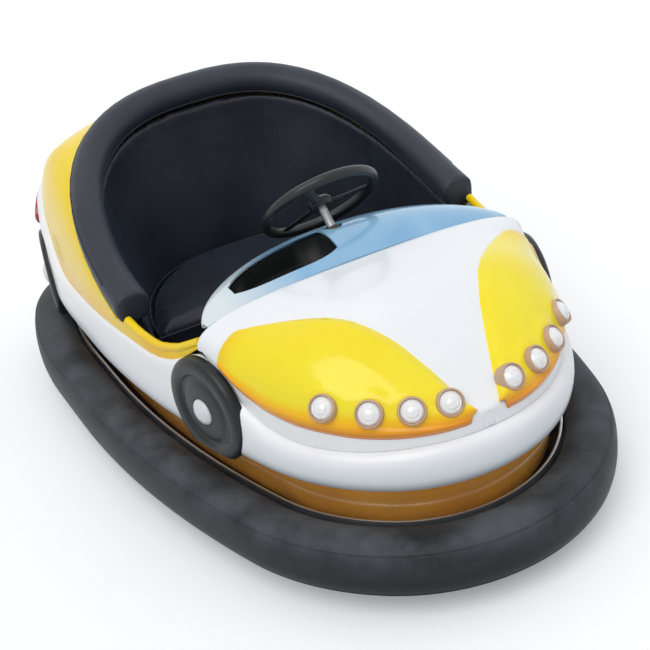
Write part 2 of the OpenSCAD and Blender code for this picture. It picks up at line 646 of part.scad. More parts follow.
// Seat
bench_foot = bench_z - bench_t;
function tub_row(a, t) = let (p0 = rim_plan(a, roll_w - 30 + t), p2 = rim_plan(a, tub_foot + t),
    z = rim_top(a) - roll_h + 9)
    [for (j = [0 : 4]) let (w = j / 4, p = mix(p0, p2, w * w * (3 - 2 * w)))
        [p.x, p.y, mix(z, bench_foot, w)]];
module seat_tub() {
    half = function(t) [for (k = [len(rim_angles) - 1 : -1 : 0]) tub_row(rim_angles[k], t)];
    color("#1e2126") difference() {
        grid_solid(both_sides(half(0)), both_sides(half(tub_t)));
        rim_roll(seat_gap);
    }
}
cushion_inset = tub_foot + tub_t + bench_gap;
cushion_plan = [for (a = [12 : 6 : 90]) rim_plan(a, cushion_inset)];
module seat_cushion() {
    n = len(cushion_plan);
    color("#23262c") translate([0, 0, bench_foot]) linear_extrude(bench_t)
        polygon(concat(cushion_plan, [for (k = [n - 2 : -1 : 0]) [cushion_plan[k].x, -cushion_plan[k].y]]));
}
box_front_x = cushion_plan[0].x - bench_gap - 1.4;
module seat_box() {
    h = bench_foot - pan_top;
    w = 2 * (rim_half_w - cushion_inset - box_side);
    color("#1a1c1f") translate([box_front_x - box_run, -w / 2, pan_top]) difference() {
        cube([box_run, w, h]);
        translate([box_t, box_t, -over]) cube([box_run - 2 * box_t, w - 2 * box_t, h - box_t + over]);
    }
}
module floor_mat() {
    back = box_front_x + bench_gap;
    w = 2 * (rail_y - rail_w / 2 - mat_t);
    color("#191a1c") translate([back, -w / 2, pan_top]) cube([bulkhead_x - 19 - back, w, mat_t]);
}

// Front of the cockpit
liner_stations = [for (k = [0 : 5])
    side_station(mix(rim_front_x + liner_t, bulkhead_x - 2, k / 5))];
function liner_top(st, t) = at(st, edge_o_at(st) + shell_t + liner_gap + t);
function liner_foot(st, t) = at(st, upstand_inset + upstand_w + 2 + t);
function liner_grid(t, s) = [for (st = liner_stations) let (a = liner_top(st, t), b = liner_foot(st, t))
    [for (j = [0 : 4]) let (w = j / 4, p = mix(a, b, sin(90 * w)))
        [p.x, s * p.y, mix(soft(a.x, rim_strip, 20) - 4, pan_top, w)]]];
module cockpit_liner() {
    color("#c9d2da") difference() {
        union() {
            grid_solid(liner_grid(0, 1), liner_grid(liner_t, 1));
            grid_solid(liner_grid(liner_t, -1), liner_grid(0, -1));
        }
        edge_bead(seat_gap);
    }
}
module bulkhead() {
    st = side_station(bulkhead_x);
    foot = liner_foot(st, liner_t).y + 1.3;
    top = liner_top(st, liner_t).y - 26;
    color("#1a1c1f") translate([bulkhead_x, 0, 0]) rotate([90, 0, 90]) linear_extrude(liner_t)
        polygon([[-foot, pan_top], [foot, pan_top], [top, bulkhead_top], [-top, bulkhead_top]]);
}

// Dashboard cowl behind the hood
dash_half_w = hood_half_w - dash_side;
function dash_rear(v) = hood_rear_x - dash_depth * sqrt(max(0, 1 - v * v));
function dash_row(v, t) = let (y = v * dash_half_w,
    z = hood_at(hood_rear_x, y, hood_half_w + 28, 0) - shell_t - 1.5)
    [for (j = [0 : 7]) let (w = j / 7) [mix(hood_rear_x + 14, dash_rear(v) + t * 0.6, w), y,
        z + dash_rise * (1 - v * v) * sin(155 * w) - t]];
dash_rows = [for (k = [-8 : 8]) 0.99 * sin(k * 11.25)];
module column_frame() {
    translate([drive_x, 0, knuckle_z]) rotate([0, -column_lean, 0]) children();
}
column_hole_r = tube_r + 7;
module tray_plan(inset) {
    y1 = -column_hole_r - 9 - inset;
    y0 = y1 - tray_w + 2 * inset;
    lip = hood_rear_x - 28 - inset;
    bends = [for (k = [0 : 8]) 16 * pow(abs(k - 4) / 4, 4)];
    polygon(concat([for (k = [0 : 8]) let (y = mix(y0, y1, k / 8))
            [dash_rear(y / dash_half_w) + 24 + inset + bends[k], y]],
        [for (k = [8 : -1 : 0]) [lip - bends[k], mix(y0, y1, k / 8)]]));
}
module dash_cowl() {
    color("#cfd8df") difference() {
        grid_solid([for (v = dash_rows) dash_row(v, 0)], [for (v = dash_rows) dash_row(v, dash_t)]);
        column_frame() cylinder(r = column_hole_r, h = column_run + 23);
        translate([0, 0, bulkhead_top]) linear_extrude(300) tray_plan(0);
        above_hood(seat_gap);
    }
}
// All the space from a gap under the cowl upwards
module above_cowl(gap) {
    low = [for (v = dash_rows) dash_row(v, dash_t + gap)];
    grid_solid([for (r = low) [for (p = r) [p.x, p.y, sky]]], low);
}
module dash_tray() {
    color("#0e0f11") translate([0, 0, hood_top - tray_depth]) difference() {
        translate([0, 0, -3]) linear_extrude(110) tray_plan(-dash_t);
        linear_extrude(110) tray_plan(0);
        translate([0, 0, tray_depth - hood_top]) above_cowl(seat_gap);
    }
}
function dash_face(v, t) = let (top = dash_row(v, 0)[7], r = dash_rear(v))
    [for (j = [0 : 3]) let (w = j / 3) [r + 7 + t + 46 * w * w * (1 - v * v), top.y * (1 - 0.05 * w),
        mix(top.z + 4, panel_foot, w)]];
face_rows = [for (k = [-7 : 7]) 0.93 * sin(k * 90 / 7)];
module dash_panel() {
    color("#15171a") difference() {
        grid_solid([for (v = face_rows) dash_face(v, 0)], [for (v = face_rows) dash_face(v, dash_t)]);
        above_cowl(seat_gap);
    }
}
module dash_button() {
    p = mix(dash_face(0.5, 0)[1], dash_face(0.5, 0)[2], 0.3);
    color("#c3202b") difference() {
        translate(p + [button_r - 1, 0, 0]) rotate([0, -90, 0]) cylinder(r = button_r, h = 2 * button_r);
        grid_solid([for (v = face_rows) dash_face(v, -seat_gap)], [for (v = face_rows) dash_face(v, 60)]);
    }
}
module pedal() {
    color("#8c9096") translate([bulkhead_x - 101, -120, pan_top + mat_t]) {
        translate([0, -pedal_w / 2 - fold_t, 0]) cube([70, pedal_w + 2 * fold_t, 5]);
        rotate([0, -pedal_slope, 0]) translate([2, -pedal_w / 2, 0]) cube([pedal_l, pedal_w, 5]);
        translate([56, -8, 0]) cube([8, 16, 64 * sin(pedal_slope) + 10.6]);
    }
}

// Steering, drawn up the column from the joint over the drive unit
ball_r = shaft_r + 5;
bridge_top = bridge_z + bridge_h;
module column_tube() {
    clamp = 2 * (tube_r + 22);
    color("#2b2d30") difference() {
        union() {
            column_frame() translate([0, 0, tube_foot]) cylinder(r = tube_r, h = column_run - tube_foot - 67);
            column_frame() translate([-tube_r - 6, -clamp / 2, tube_foot + 28])
                cube([2 * tube_r + 12, clamp, clamp_l]);
            for (s = [-1, 1]) translate([drive_x, s * (clamp / 2 - 3) + 3, 0])
                rotate([90, 0, 0]) linear_extrude(6) polygon([[-bridge_w / 2, bridge_top],
                    [bridge_w / 2, bridge_top], [-50, bridge_top + 155], [-90, bridge_top + 145],
                    [-100, bridge_top + 125]]);
        }
        column_frame() translate([0, 0, tube_foot - 12]) cylinder(r = shaft_r + shaft_gap, h = column_run);
    }
}
module steering_shaft() {
    color("#9a9da1") column_frame() {
        translate([0, 0, ball_r + 7]) cylinder(r = shaft_r, h = column_run - ball_r - 7 - wheel_grip_r);
        difference() {
            sphere(r = ball_r + 10);
            sphere(r = ball_r + 1);
            translate([-40, -40, -80]) cube(80);
        }
    }
}
module steering_wheel() {
    spoke_l = wheel_r - wheel_grip_r - 4;
    color("#17181a") column_frame() translate([0, 0, column_run]) {
        rotate_extrude($fn = 96) translate([wheel_r - wheel_grip_r, 0]) circle(r = wheel_grip_r, $fn = 32);
        translate([0, 0, -12]) cylinder(r = 27, h = 22);
        for (a = [90, 210, 330]) rotate([0, 0, a]) translate([0, 0, -6]) linear_extrude(6)
            polygon([[24, -16], [spoke_l / 2, -11], [spoke_l, -12],
                [spoke_l, 12], [spoke_l / 2, 11], [24, 16]]);
    }
}

// Lamps, dummy wheels and caps
// Headlamps of the left side, as [heading of the plan, inset, height over the sill]
lamp_table = [[76.9, 120.7, 21], [63.05, 113.8, 23], [49.25, 108, 26], [37.5, 104.7, 35]];
lamp_toe = 2;
module lamp_places() {
    for (m = [0, 1]) mirror([0, m, 0]) for (l = lamp_table) let (p = at(front_station(l[0]), l[1]))
        translate([p.x, p.y, sill_z + l[2]]) rotate([0, 90 - lamp_tilt, 90 - lamp_toe - l[0]]) children();
}
bezel_w = 5;
module lamp_pockets() {
    lamp_places() translate([0, 0, -lamp_depth - 2])
        cylinder(r = lamp_r + bezel_w + seat_gap, h = 2.5 * lamp_r);
}
module headlamp_bezels() {
    rim = lamp_r + bezel_w;
    color("#b8a79a") lamp_places() rotate_extrude() polygon([[0, -lamp_depth], [rim, -lamp_depth], [rim, 2],
        [rim - 3, 7], [lamp_r, 7], [lamp_r, -14], [0, -14]]);
}
module headlamp_lenses() {
    color("#f4f6f8", 0.5) lamp_places() intersection() {
        translate([0, 0, 2 - lamp_r]) sphere(r = 14 + lamp_r);
        translate([0, 0, -6]) cylinder(r = lamp_r - 0.4, h = 2 * lamp_r);
    }
}
// Tail lamps: squared at the inner end, drawn out to a point round the corner. Each follows the band's
// own stations, halved, so it lies flat on the band's face.
lamp_stations = [for (s = tail_stations) if (-s[3] > rear_turns[0] - 1 && -s[3] < 75) s];
lamp_steps = 2 * (len(lamp_stations) - 1);
function lamp_point(k, o) = let (a = lamp_stations[floor(k / 2)], b = lamp_stations[ceil(k / 2)])
    mix(at(a, o + tail_in(a)), at(b, o + tail_in(b)), k % 2 / 2);
function tail_lamp_half(w) = tail_lamp_h * sqrt(1 - pow(w, 2.2)) * (w < 0.05 ? 0.92 : 1) + 1.5;
function tail_lamp_grid(face, s, round) = [for (k = [lamp_steps : -1 : 0])
    let (w = 1 - k / lamp_steps, h = tail_lamp_half(w))
    [for (j = [0 : 4]) let (c = j / 2 - 1, a = lamp_point(k, face + round * c * c))
        [a.x, s * a.y, tail_lamp_z - 6 * w - h * c]]];
module tail_lamps() {
    face = belly_inset - 11;
    seat = belly_inset - seat_gap;
    color("#a61622") {
        grid_solid(tail_lamp_grid(face, 1, 5), tail_lamp_grid(seat, 1, 0));
        grid_solid(tail_lamp_grid(seat, -1, 0), tail_lamp_grid(face, -1, 5));
    }
}
disc_t = 28;
module dummy_wheel(x) {
    cut = x > 0 ? lip_z + 3.5 : 0;
    color("#1b1c1e") for (m = [0, 1]) mirror([0, m, 0]) difference() {
        on_side(x, pocket_inset) rotate_extrude($fn = 96) polygon([[0, 0], [dummy_r, 0],
            [dummy_r, disc_t - 10], [dummy_r - 4, disc_t - 4], [dummy_r - 12, disc_t - 1],
            [dummy_r - 34, disc_t], [dummy_r - 40, disc_t - 7], [dummy_r - 48, disc_t - 7],
            [dummy_r - 56, disc_t - 2], [cap_r + 4, disc_t], [0, disc_t]]);
        translate([x - 200, 0, -over]) cube([400, half_w + 100, cut + over]);
    }
}
module dummy_wheels_front() { dummy_wheel(dummy_front_x); }
module dummy_wheels_rear() { dummy_wheel(dummy_rear_x); }
module hub_caps() {
    color("#e8eaec") for (m = [0, 1]) mirror([0, m, 0]) for (x = [dummy_front_x, dummy_rear_x])
        on_side(x, pocket_inset) translate([0, 0, disc_t]) intersection() {
            translate([0, 0, -cap_r]) sphere(r = cap_r + 12);
            cylinder(r = cap_r, h = 20);
        }
}

// Drive unit, turning about an upright axis
bridge_y = drive_hole_r + 36;
module drive_bridge() {
    color("#3a3d41") translate([drive_x, 0, 0]) difference() {
        union() {
            translate([-bridge_w / 2, -bridge_y - 10, bridge_z])
                cube([bridge_w, 2 * bridge_y + 20, bridge_h]);
            translate([0, 0, bridge_z - 4]) cylinder(r = pivot_r + 22, h = bridge_h + 4);
            for (s = [-1, 1]) translate([-bridge_w / 2, s * bridge_y, pan_top]) {
                translate([0, -10, 0]) cube([bridge_w, 20, bridge_z - pan_top]);
                translate([-15, -24, 0]) cube([bridge_w + 30, 48, 2 * fold_t]);
            }
        }
        translate([0, 0, bridge_z - 10]) cylinder(r = pivot_r + pin_gap, h = bridge_h + 20);
    }
}
fork_top = bridge_z - 10;
plate_t = 9;
fork_out = drive_w / 2 + fork_gap + fork_t;
module drive_fork() {
    color("#55585c") translate([drive_x, 0, 0]) difference() {
        union() {
            translate([0, 0, fork_top - plate_t]) cylinder(r = fork_plate_r, h = plate_t);
            translate([0, 0, fork_top]) cylinder(r = pivot_r + 14, h = 5.5);
            translate([0, 0, fork_top]) cylinder(r = pivot_r, h = bridge_h + 22);
            translate([0, 0, bridge_top + 5]) cylinder(r = shaft_r, h = knuckle_z - bridge_top - 5);
            translate([0, 0, knuckle_z]) sphere(r = ball_r);
            for (m = [0, 1]) mirror([0, m, 0]) translate([-fork_w / 2, fork_out - fork_t, 68])
                cube([fork_w, fork_t, fork_top - plate_t - 68]);
        }
        translate([0, -80, drive_r]) rotate([-90, 0, 0]) cylinder(r = drive_axle_r, h = 160);
    }
}
module drive_motor() {
    color("#3d5166") translate([drive_x, fork_out, motor_z]) rotate([-90, 0, 0]) difference() {
        cylinder(r = motor_r, h = motor_l);
        translate([0, motor_z - drive_r, -over]) cylinder(r = drive_axle_r + 10, h = 14);
    }
}
module drive_axle() {
    color("#b4b7ba") translate([drive_x, -fork_out - 6, drive_r]) rotate([-90, 0, 0])
        cylinder(r = drive_axle_r, h = 2 * fork_out + 16);
}
// Wheel centre and tyre about the Y axis: seat radius, tread width, bore radius, hub length
module wheel_rim(seat, w, bore, hub) {
    edge = w / 2 - 2;
    rotate([-90, 0, 0]) rotate_extrude($fn = 72) polygon([[bore, -hub / 2], [bore + 14, -hub / 2],
        [bore + 14, -6], [seat - 8, -6], [seat - 8, -edge], [seat, -edge], [seat, edge], [seat - 8, edge],
        [seat - 8, 6], [bore + 14, 6], [bore + 14, hub / 2], [bore, hub / 2]]);
}
module wheel_tyre(r, w, seat) {
    c = w * 0.16;
    h = w / 2;
    rotate([-90, 0, 0]) rotate_extrude($fn = 72) polygon([[seat, -h], [r - c, -h],
        [r - c * 0.3, -h + c * 0.3], [r, -h + c], [r, h - c], [r - c * 0.3, h - c * 0.3],
        [r - c, h], [seat, h]]);
}
drive_seat_r = drive_r - 30;
module drive_rim() {
    color("#7c8084") translate([drive_x, 0, drive_r])
        wheel_rim(drive_seat_r, drive_w, drive_axle_r + pin_gap, drive_w + fork_gap + 2);
}
module drive_tyre() {
    color("#222326") translate([drive_x, 0, drive_r]) wheel_tyre(drive_r, drive_w, drive_seat_r);
}

// Rear wheels on fixed pins
rear_seat_r = rear_r - 25.6;
module rear_places() { for (s = [-1, 1]) translate([rear_x, s * rear_y, 0]) children(); }
module rear_brackets() {
    color("#55585c") rear_places() difference() {
        for (m = [0, 1]) mirror([0, m, 0]) translate([-ear_w / 2, ear_in, 0]) {
            translate([0, 0, pan_z - ear_drop]) cube([ear_w, ear_t, ear_h]);
            translate([0, 0, pan_top]) cube([ear_w, 3 * ear_t, ear_t]);
        }
        translate([0, -2 * ear_in, rear_r]) rotate([-90, 0, 0]) cylinder(r = rear_pin_r, h = 4 * ear_in);
    }
}
module rear_axles() {
    color("#b4b7ba") rear_places() translate([0, -ear_in - 10, rear_r]) rotate([-90, 0, 0])
        cylinder(r = rear_pin_r, h = 2 * ear_in + 20);
}
module rear_rim(s) {
    color("#7c8084") translate([rear_x, s * rear_y, rear_r])
        wheel_rim(rear_seat_r, rear_w, rear_pin_r + pin_gap, rear_w + 5);
}
module rear_tyre(s) {
    color("#222326") translate([rear_x, s * rear_y, rear_r]) wheel_tyre(rear_r, rear_w, rear_seat_r);
}
module rear_rim_left() { rear_rim(1); }
module rear_rim_right() { rear_rim(-1); }
module rear_tyre_left() { rear_tyre(1); }
module rear_tyre_right() { rear_tyre(-1); }

bumper_ring();
bumper_hoop();
chassis_pan();
chassis_rails();
body_upstand();
lower_skirt();
body_band();
hood();
wing_left();
wing_right();
rear_cowl();
pole_socket();
rim_pad();
seat_tub();
seat_cushion();
seat_box();
floor_mat();
cockpit_liner();
bulkhead();
dash_cowl();
dash_tray();
dash_panel();
dash_button();
pedal();
column_tube();
steering_wheel();
steering_shaft();
headlamp_bezels();
headlamp_lenses();
tail_lamps();
dummy_wheels_front();
dummy_wheels_rear();
hub_caps();
drive_bridge();
drive_fork();
drive_motor();
drive_axle();
drive_rim();
drive_tyre();
rear_brackets();
rear_axles();
rear_rim_left();
rear_rim_right();
rear_tyre_left();
rear_tyre_right();
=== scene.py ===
"""Bumper car: its looks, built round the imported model. Plans are in millimetres, meshes in metres."""
from math import asin, cos, degrees, hypot, pi, radians, sin, sqrt

import bpy
import numpy as np
from mathutils import Matrix, Vector


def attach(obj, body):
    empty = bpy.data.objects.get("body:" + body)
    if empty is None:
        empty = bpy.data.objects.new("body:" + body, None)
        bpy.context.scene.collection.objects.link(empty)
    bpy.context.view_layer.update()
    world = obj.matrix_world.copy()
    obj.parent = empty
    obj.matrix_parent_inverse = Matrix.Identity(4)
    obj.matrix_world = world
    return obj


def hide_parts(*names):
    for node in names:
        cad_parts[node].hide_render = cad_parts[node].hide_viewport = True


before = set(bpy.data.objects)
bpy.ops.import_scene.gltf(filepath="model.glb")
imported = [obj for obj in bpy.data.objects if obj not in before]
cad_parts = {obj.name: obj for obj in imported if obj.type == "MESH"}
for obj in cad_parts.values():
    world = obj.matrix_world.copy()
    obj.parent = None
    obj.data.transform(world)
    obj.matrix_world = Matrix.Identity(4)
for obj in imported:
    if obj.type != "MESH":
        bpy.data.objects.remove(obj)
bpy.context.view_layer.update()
MM = 0.001              # metres

# Camera
CAMERA_PLACE = Vector((2.788, -1.151, 1.849))
CAMERA_YAW = 2.408
CAMERA_PITCH = 0.530
AIM_ASIDE = -0.291      # where the car stands in the view, as a slope to the right of the line of sight
AIM_UP = 0.009
LENS = 75.0


def add_camera():
    """A camera at the viewpoint of the photograph, aimed so that the car stands where it does there."""
    level = cos(CAMERA_PITCH)
    ahead = Vector((level * cos(CAMERA_YAW), level * sin(CAMERA_YAW), -sin(CAMERA_PITCH)))
    right = Vector((sin(CAMERA_YAW), -cos(CAMERA_YAW), 0))
    up = right.cross(ahead)
    upright = Matrix((right, up, -ahead)).transposed().to_quaternion()
    aim = ahead + AIM_ASIDE * right + AIM_UP * up
    bpy.ops.object.camera_add(location=CAMERA_PLACE)
    camera = bpy.context.object
    camera.rotation_mode = "QUATERNION"
    camera.rotation_quaternion = ahead.rotation_difference(aim) @ upright
    camera.data.lens = LENS
    camera.data.clip_end = 60
    bpy.context.scene.camera = camera


add_camera()


# Mesh making
def clear_selection():
    bpy.ops.object.select_all(action="DESELECT")


def work_on(piece):
    clear_selection()
    piece.select_set(True)
    bpy.context.view_layer.objects.active = piece


def in_edit(piece, *steps):
    """Runs edit-mode operators, each a (function, settings) pair, on the whole mesh."""
    work_on(piece)
    bpy.ops.object.mode_set(mode="EDIT")
    bpy.ops.mesh.select_all(action="SELECT")
    for operator, settings in steps:
        operator(**settings)
    bpy.ops.object.mode_set(mode="OBJECT")


def laid(name, rows, inside_out=False, merge=0.05):
    """A grid primitive laid over rows of points; ends that meet are merged."""
    clear_selection()
    high, wide = len(rows), len(rows[0])
    bpy.ops.mesh.primitive_grid_add(x_subdivisions=wide - 1, y_subdivisions=high - 1, size=1)
    piece = bpy.context.object
    piece.name = piece.data.name = name
    spots = np.array(rows, dtype=float).reshape(-1, 3) * MM
    piece.data.vertices.foreach_set("co", spots.ravel())
    piece.data.update()
    steps = [(bpy.ops.mesh.remove_doubles, {"threshold": merge * MM}),
             (bpy.ops.mesh.dissolve_degenerate, {"threshold": merge * MM / 5})]
    if inside_out:
        steps.append((bpy.ops.mesh.flip_normals, {}))
    in_edit(piece, *steps)
    return piece


def face_out(piece):
    in_edit(piece, (bpy.ops.mesh.normals_make_consistent, {"inside": False}))
    return piece


def capped(piece):
    """Fills the open ends of a run of sections."""
    in_edit(piece, (bpy.ops.mesh.select_all, {"action": "DESELECT"}),
            (bpy.ops.mesh.select_non_manifold, {}), (bpy.ops.mesh.fill_holes, {"sides": 0}))
    return face_out(piece)


def modify(piece, kind, **settings):
    work_on(piece)
    modifier = piece.modifiers.new(kind.title(), kind)
    for key, value in settings.items():
        setattr(modifier, key, value)
    bpy.ops.object.modifier_apply(modifier=modifier.name)
    return piece


def rounded(piece, width, angle=35, segments=2):
    return modify(piece, "BEVEL", width=width * MM, segments=segments, limit_method="ANGLE",
                  angle_limit=radians(angle), harden_normals=False)


def walled(piece, wall, even=True):
    return modify(piece, "SOLIDIFY", thickness=wall * MM, offset=-1, use_even_offset=even)


def subdivided(piece, levels=1):
    return modify(piece, "SUBSURF", levels=levels, render_levels=levels)


def cut(piece, *cutters):
    for cutter in cutters:
        modify(piece, "BOOLEAN", operation="DIFFERENCE", solver="EXACT", object=cutter)
        bpy.data.objects.remove(cutter)
    return piece


def settle(piece):
    """Puts the piece's place and turn into its mesh."""
    work_on(piece)
    bpy.ops.object.transform_apply(location=True, rotation=True, scale=True)
    return piece


def joined(name, parts):
    clear_selection()
    for part in parts:
        part.select_set(True)
    bpy.context.view_layer.objects.active = parts[0]
    bpy.ops.object.join()
    piece = bpy.context.object
    piece.name = piece.data.name = name
    return piece


def copy_of(piece, matrix, mirror=False):
    other = piece.copy()
    other.data = piece.data.copy()
    bpy.context.collection.objects.link(other)
    other.data.transform(matrix)
    if mirror:
        other.data.flip_normals()
    return other


MIRROR_Y = Matrix.Diagonal((1, -1, 1, 1))


def block(middle, size):
    """A box, its middle and size given in mm."""
    bpy.ops.mesh.primitive_cube_add(size=1, location=Vector(middle) * MM, scale=Vector(size) * MM)
    return settle(bpy.context.object)


def post(radius, length, sides):
    """A cylinder that stands on the origin."""
    bpy.ops.mesh.primitive_cylinder_add(vertices=sides, radius=radius * MM, depth=length * MM,
                                        location=(0, 0, length / 2 * MM))
    return settle(bpy.context.object)


def turned(name, profile, steps=48):
    """A profile of [radius, height] points turned about Z."""
    rows = [[(r * cos(2 * pi * k / steps), r * sin(2 * pi * k / steps), z) for r, z in profile]
            for k in range(steps + 1)]
    return face_out(laid(name, rows))


def loop_through(name, rows, closed):
    """Sections that are loops of points, joined into a ring or a run with closed ends."""
    piece = laid(name, [list(row) + [row[0]] for row in (list(rows) + [rows[0]] if closed else rows)])
    return face_out(piece) if closed else capped(piece)


def own_copy(node, name):
    """A merged copy of a CAD node, to be dressed and then to stand for it."""
    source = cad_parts[node]
    piece = source.copy()
    piece.data = source.data.copy()
    piece.name = piece.data.name = name
    piece.parent = None
    piece.matrix_world = Matrix.Identity(4)
    bpy.context.collection.objects.link(piece)
    in_edit(piece, (bpy.ops.mesh.remove_doubles, {"threshold": 0.00002}),
            (bpy.ops.mesh.tris_convert_to_quads, {"face_threshold": 0.7, "shape_threshold": 0.7}))
    piece.data.materials.clear()
    return piece


# The plan, as the CAD has it: arcs of the left side from nose to tail
HALF_LENGTH = 975
HALF_WIDTH = 575
NOSE_RUN, TAIL_RUN = 1133, 624
WIDE_X = HALF_LENGTH - NOSE_RUN
TURN_X = TAIL_RUN - HALF_LENGTH
FRONT_CORNER, REAR_CORNER = 566, 318
SHELL = 6
LIP_Z = 250
SILL_INSET, EDGE_INSET, BELLY_INSET, LIP_INSET = 90, 112, 84, 112
HOOD_REAR_X = 400


def quarter(start, run, first, last, radius, side):
    """Three tangent arcs of a quarter of the plan, each [centre x, y, radius, first and last heading]."""
    a, b = radians(first), radians(last)
    u = run - radius * (sin(b) - sin(a))
    v = HALF_WIDTH - radius * (cos(a) - cos(b))
    d = sin(a) * cos(b) - (1 - sin(b)) * (1 - cos(a))
    r1 = (u * cos(b) - v * (1 - sin(b))) / d
    r3 = (v * sin(a) - u * (1 - cos(a))) / d
    c1 = (start, HALF_WIDTH - r1)
    c2 = (c1[0] + (r1 - radius) * side * sin(a), c1[1] + (r1 - radius) * cos(a))
    c3 = (c2[0] + (radius - r3) * side * sin(b), c2[1] + (radius - r3) * cos(b))
    first, last = side * first, side * last
    return [(*c1, r1, 0, first), (*c2, radius, first, last), (*c3, r3, last, side * 90)]


FRONT_TURN, REAR_TURN = (17, 51.3), (18.7, 70.3)
FRONT_ARCS = quarter(WIDE_X, NOSE_RUN, *FRONT_TURN, FRONT_CORNER, 1)
REAR_ARCS = quarter(TURN_X, TAIL_RUN, *REAR_TURN, REAR_CORNER, -1)


def at(station, inset):
    """A station's point, moved in from the outline of the plan."""
    cx, cy, radius, heading = station
    return (cx + (radius - inset) * sin(radians(heading)), cy + (radius - inset) * cos(radians(heading)))


def steps_of(arc, count, last=False):
    cx, cy, radius, first, end = arc
    return [(cx, cy, radius, first + (end - first) * k / count) for k in range(count + (1 if last else 0))]


def quarter_steps(arcs, counts, fine=1):
    """Stations along the three arcs of a quarter, with the end of the last arc."""
    return [s for arc, count in zip(arcs, counts) for s in steps_of(arc, count * fine, arc is arcs[-1])]


def left_stations(fine):
    """Stations of the left side from nose to tail; fine multiplies the CAD's count."""
    return quarter_steps(FRONT_ARCS, (6, 6, 5), fine)[::-1] + quarter_steps(REAR_ARCS, (3, 6, 5), fine)


def side_station(x):
    """The station of the front quarter's long arc at a place along the car."""
    cx, cy, radius = FRONT_ARCS[0][:3]
    return (cx, cy, radius, degrees(asin((x - cx) / (radius - SILL_INSET))))


def lookup(x, table):
    """The value that a table of [x, value] rows gives at x."""
    return float(np.interp(x, [row[0] for row in table], [row[1] for row in table]))


def soft(x, table, w):
    """A table read with its corners rounded over w to each side."""
    return (lookup(x - w, table) + 2 * lookup(x - w / 2, table) + 2 * lookup(x, table)
            + 2 * lookup(x + w / 2, table) + lookup(x + w, table)) / 8


def mix(a, b, t):
    return a + (b - a) * t


def ease(t):
    t = min(1, max(0, t))
    return t * t * (3 - 2 * t)


# Tables along the car, each [x, height], [x, inset] or [x, distance from the middle]
BAND_TOP = [(-980, 506), (-755, 506), (-685, 496), (-600, 468), (-500, 416), (-415, 388), (-335, 378),
            (-200, 398), (100, 412), (240, 412), (330, 435), (395, 492), (425, 484), (455, 436), (500, 398),
            (570, 366), (660, 348), (760, 348), (860, 360), (980, 362)]
BAND_INSET = [(-980, EDGE_INSET - 4), (-480, EDGE_INSET - 4), (-200, SILL_INSET), (280, SILL_INSET),
              (400, EDGE_INSET), (980, EDGE_INSET)]
HOOD_LINE = [(350, 552), (400, 552), (470, 561), (580, 563), (650, 545), (703, 516), (760, 476), (805, 439),
             (850, 406), (880, 384), (920, 366)]
HOOD_POWER = 2.8
WING_REAR_X = 418
WING_INNER = [(WING_REAR_X, 402), (440, 350), (500, 262), (560, 196), (620, 145), (700, 96), (780, 58),
              (840, 36), (878, 24)]
WING_RISE, NOSE_RISE = 20, 7
TURN_DOWN_X = 856                       # ahead of this the wings turn down over the nose
TAIL_SET, TAIL_LIP, BROW_RISE, VALLEY_W = 46, 30, 15, 156
RIM_STRIP = [(60, 462), (90, 456), (150, 444), (240, 440), (320, 462), (400, 506)]


def edge_z(x):
    """Height of the band's top edge, on which the hood and the cowl stand."""
    return soft(x, BAND_TOP, 24)


def tail_in(station):
    """How far the body stands forward of the plan, growing to the middle of the tail."""
    return TAIL_SET * max(0, (-sin(radians(station[3])) - 0.6) / 0.4)


def lip_at(station):
    """Height of the band's lower lip, which rises round the tail."""
    return LIP_Z + TAIL_LIP * min(1, max(0, (-sin(radians(station[3])) - 0.25) / 0.45))


def brow(station):
    """The rise of the band's edge over a tail lamp."""
    return BROW_RISE * lookup(-station[3], [(20, 0), (50, 1), (74.5, 1), (78.5, 0)])


def edge_inset(station):
    return soft(at(station, SILL_INSET)[0], BAND_INSET, 80) + tail_in(station)


def edge_at(station):
    return at(station, edge_inset(station))


def hood_at(x, y, width):
    """Height of the hood over a point of the plan; width is the hood's half width there."""
    low = edge_z(x)
    v = min(1, abs(y) / max(width, 1))
    return low + (soft(x, HOOD_LINE, 30) - low) * max(0, 1 - v ** HOOD_POWER) ** (1 / HOOD_POWER)


def ring_of(name, section, fine=3):
    """A ring round the whole plan. The section gives [inset, height] points for a station."""
    half = []
    for station in left_stations(fine):
        points = section(station) if callable(section) else section
        half.append([(*at(station, inset), z) for inset, z in points])
    other = [[(x, -y, z) for x, y, z in row] for row in half[-2:0:-1]]
    return loop_through(name, half + other, True)


# Finishes
class Signal:
    """A socket that arithmetic can be written on; each sign adds its Math node."""

    def __init__(self, finish, socket):
        self.finish, self.socket = finish, socket

    def _math(self, operation, a, b):
        return self.finish.node("ShaderNodeMath", {"operation": operation}, {0: a, 1: b})

    def __add__(self, other):
        return self._math("ADD", self, other)

    def __sub__(self, other):
        return self._math("SUBTRACT", self, other)

    def __mul__(self, other):
        return self._math("MULTIPLY", self, other)

    def __rsub__(self, other):
        return self._math("SUBTRACT", other, self)

    __radd__ = __add__
    __rmul__ = __mul__


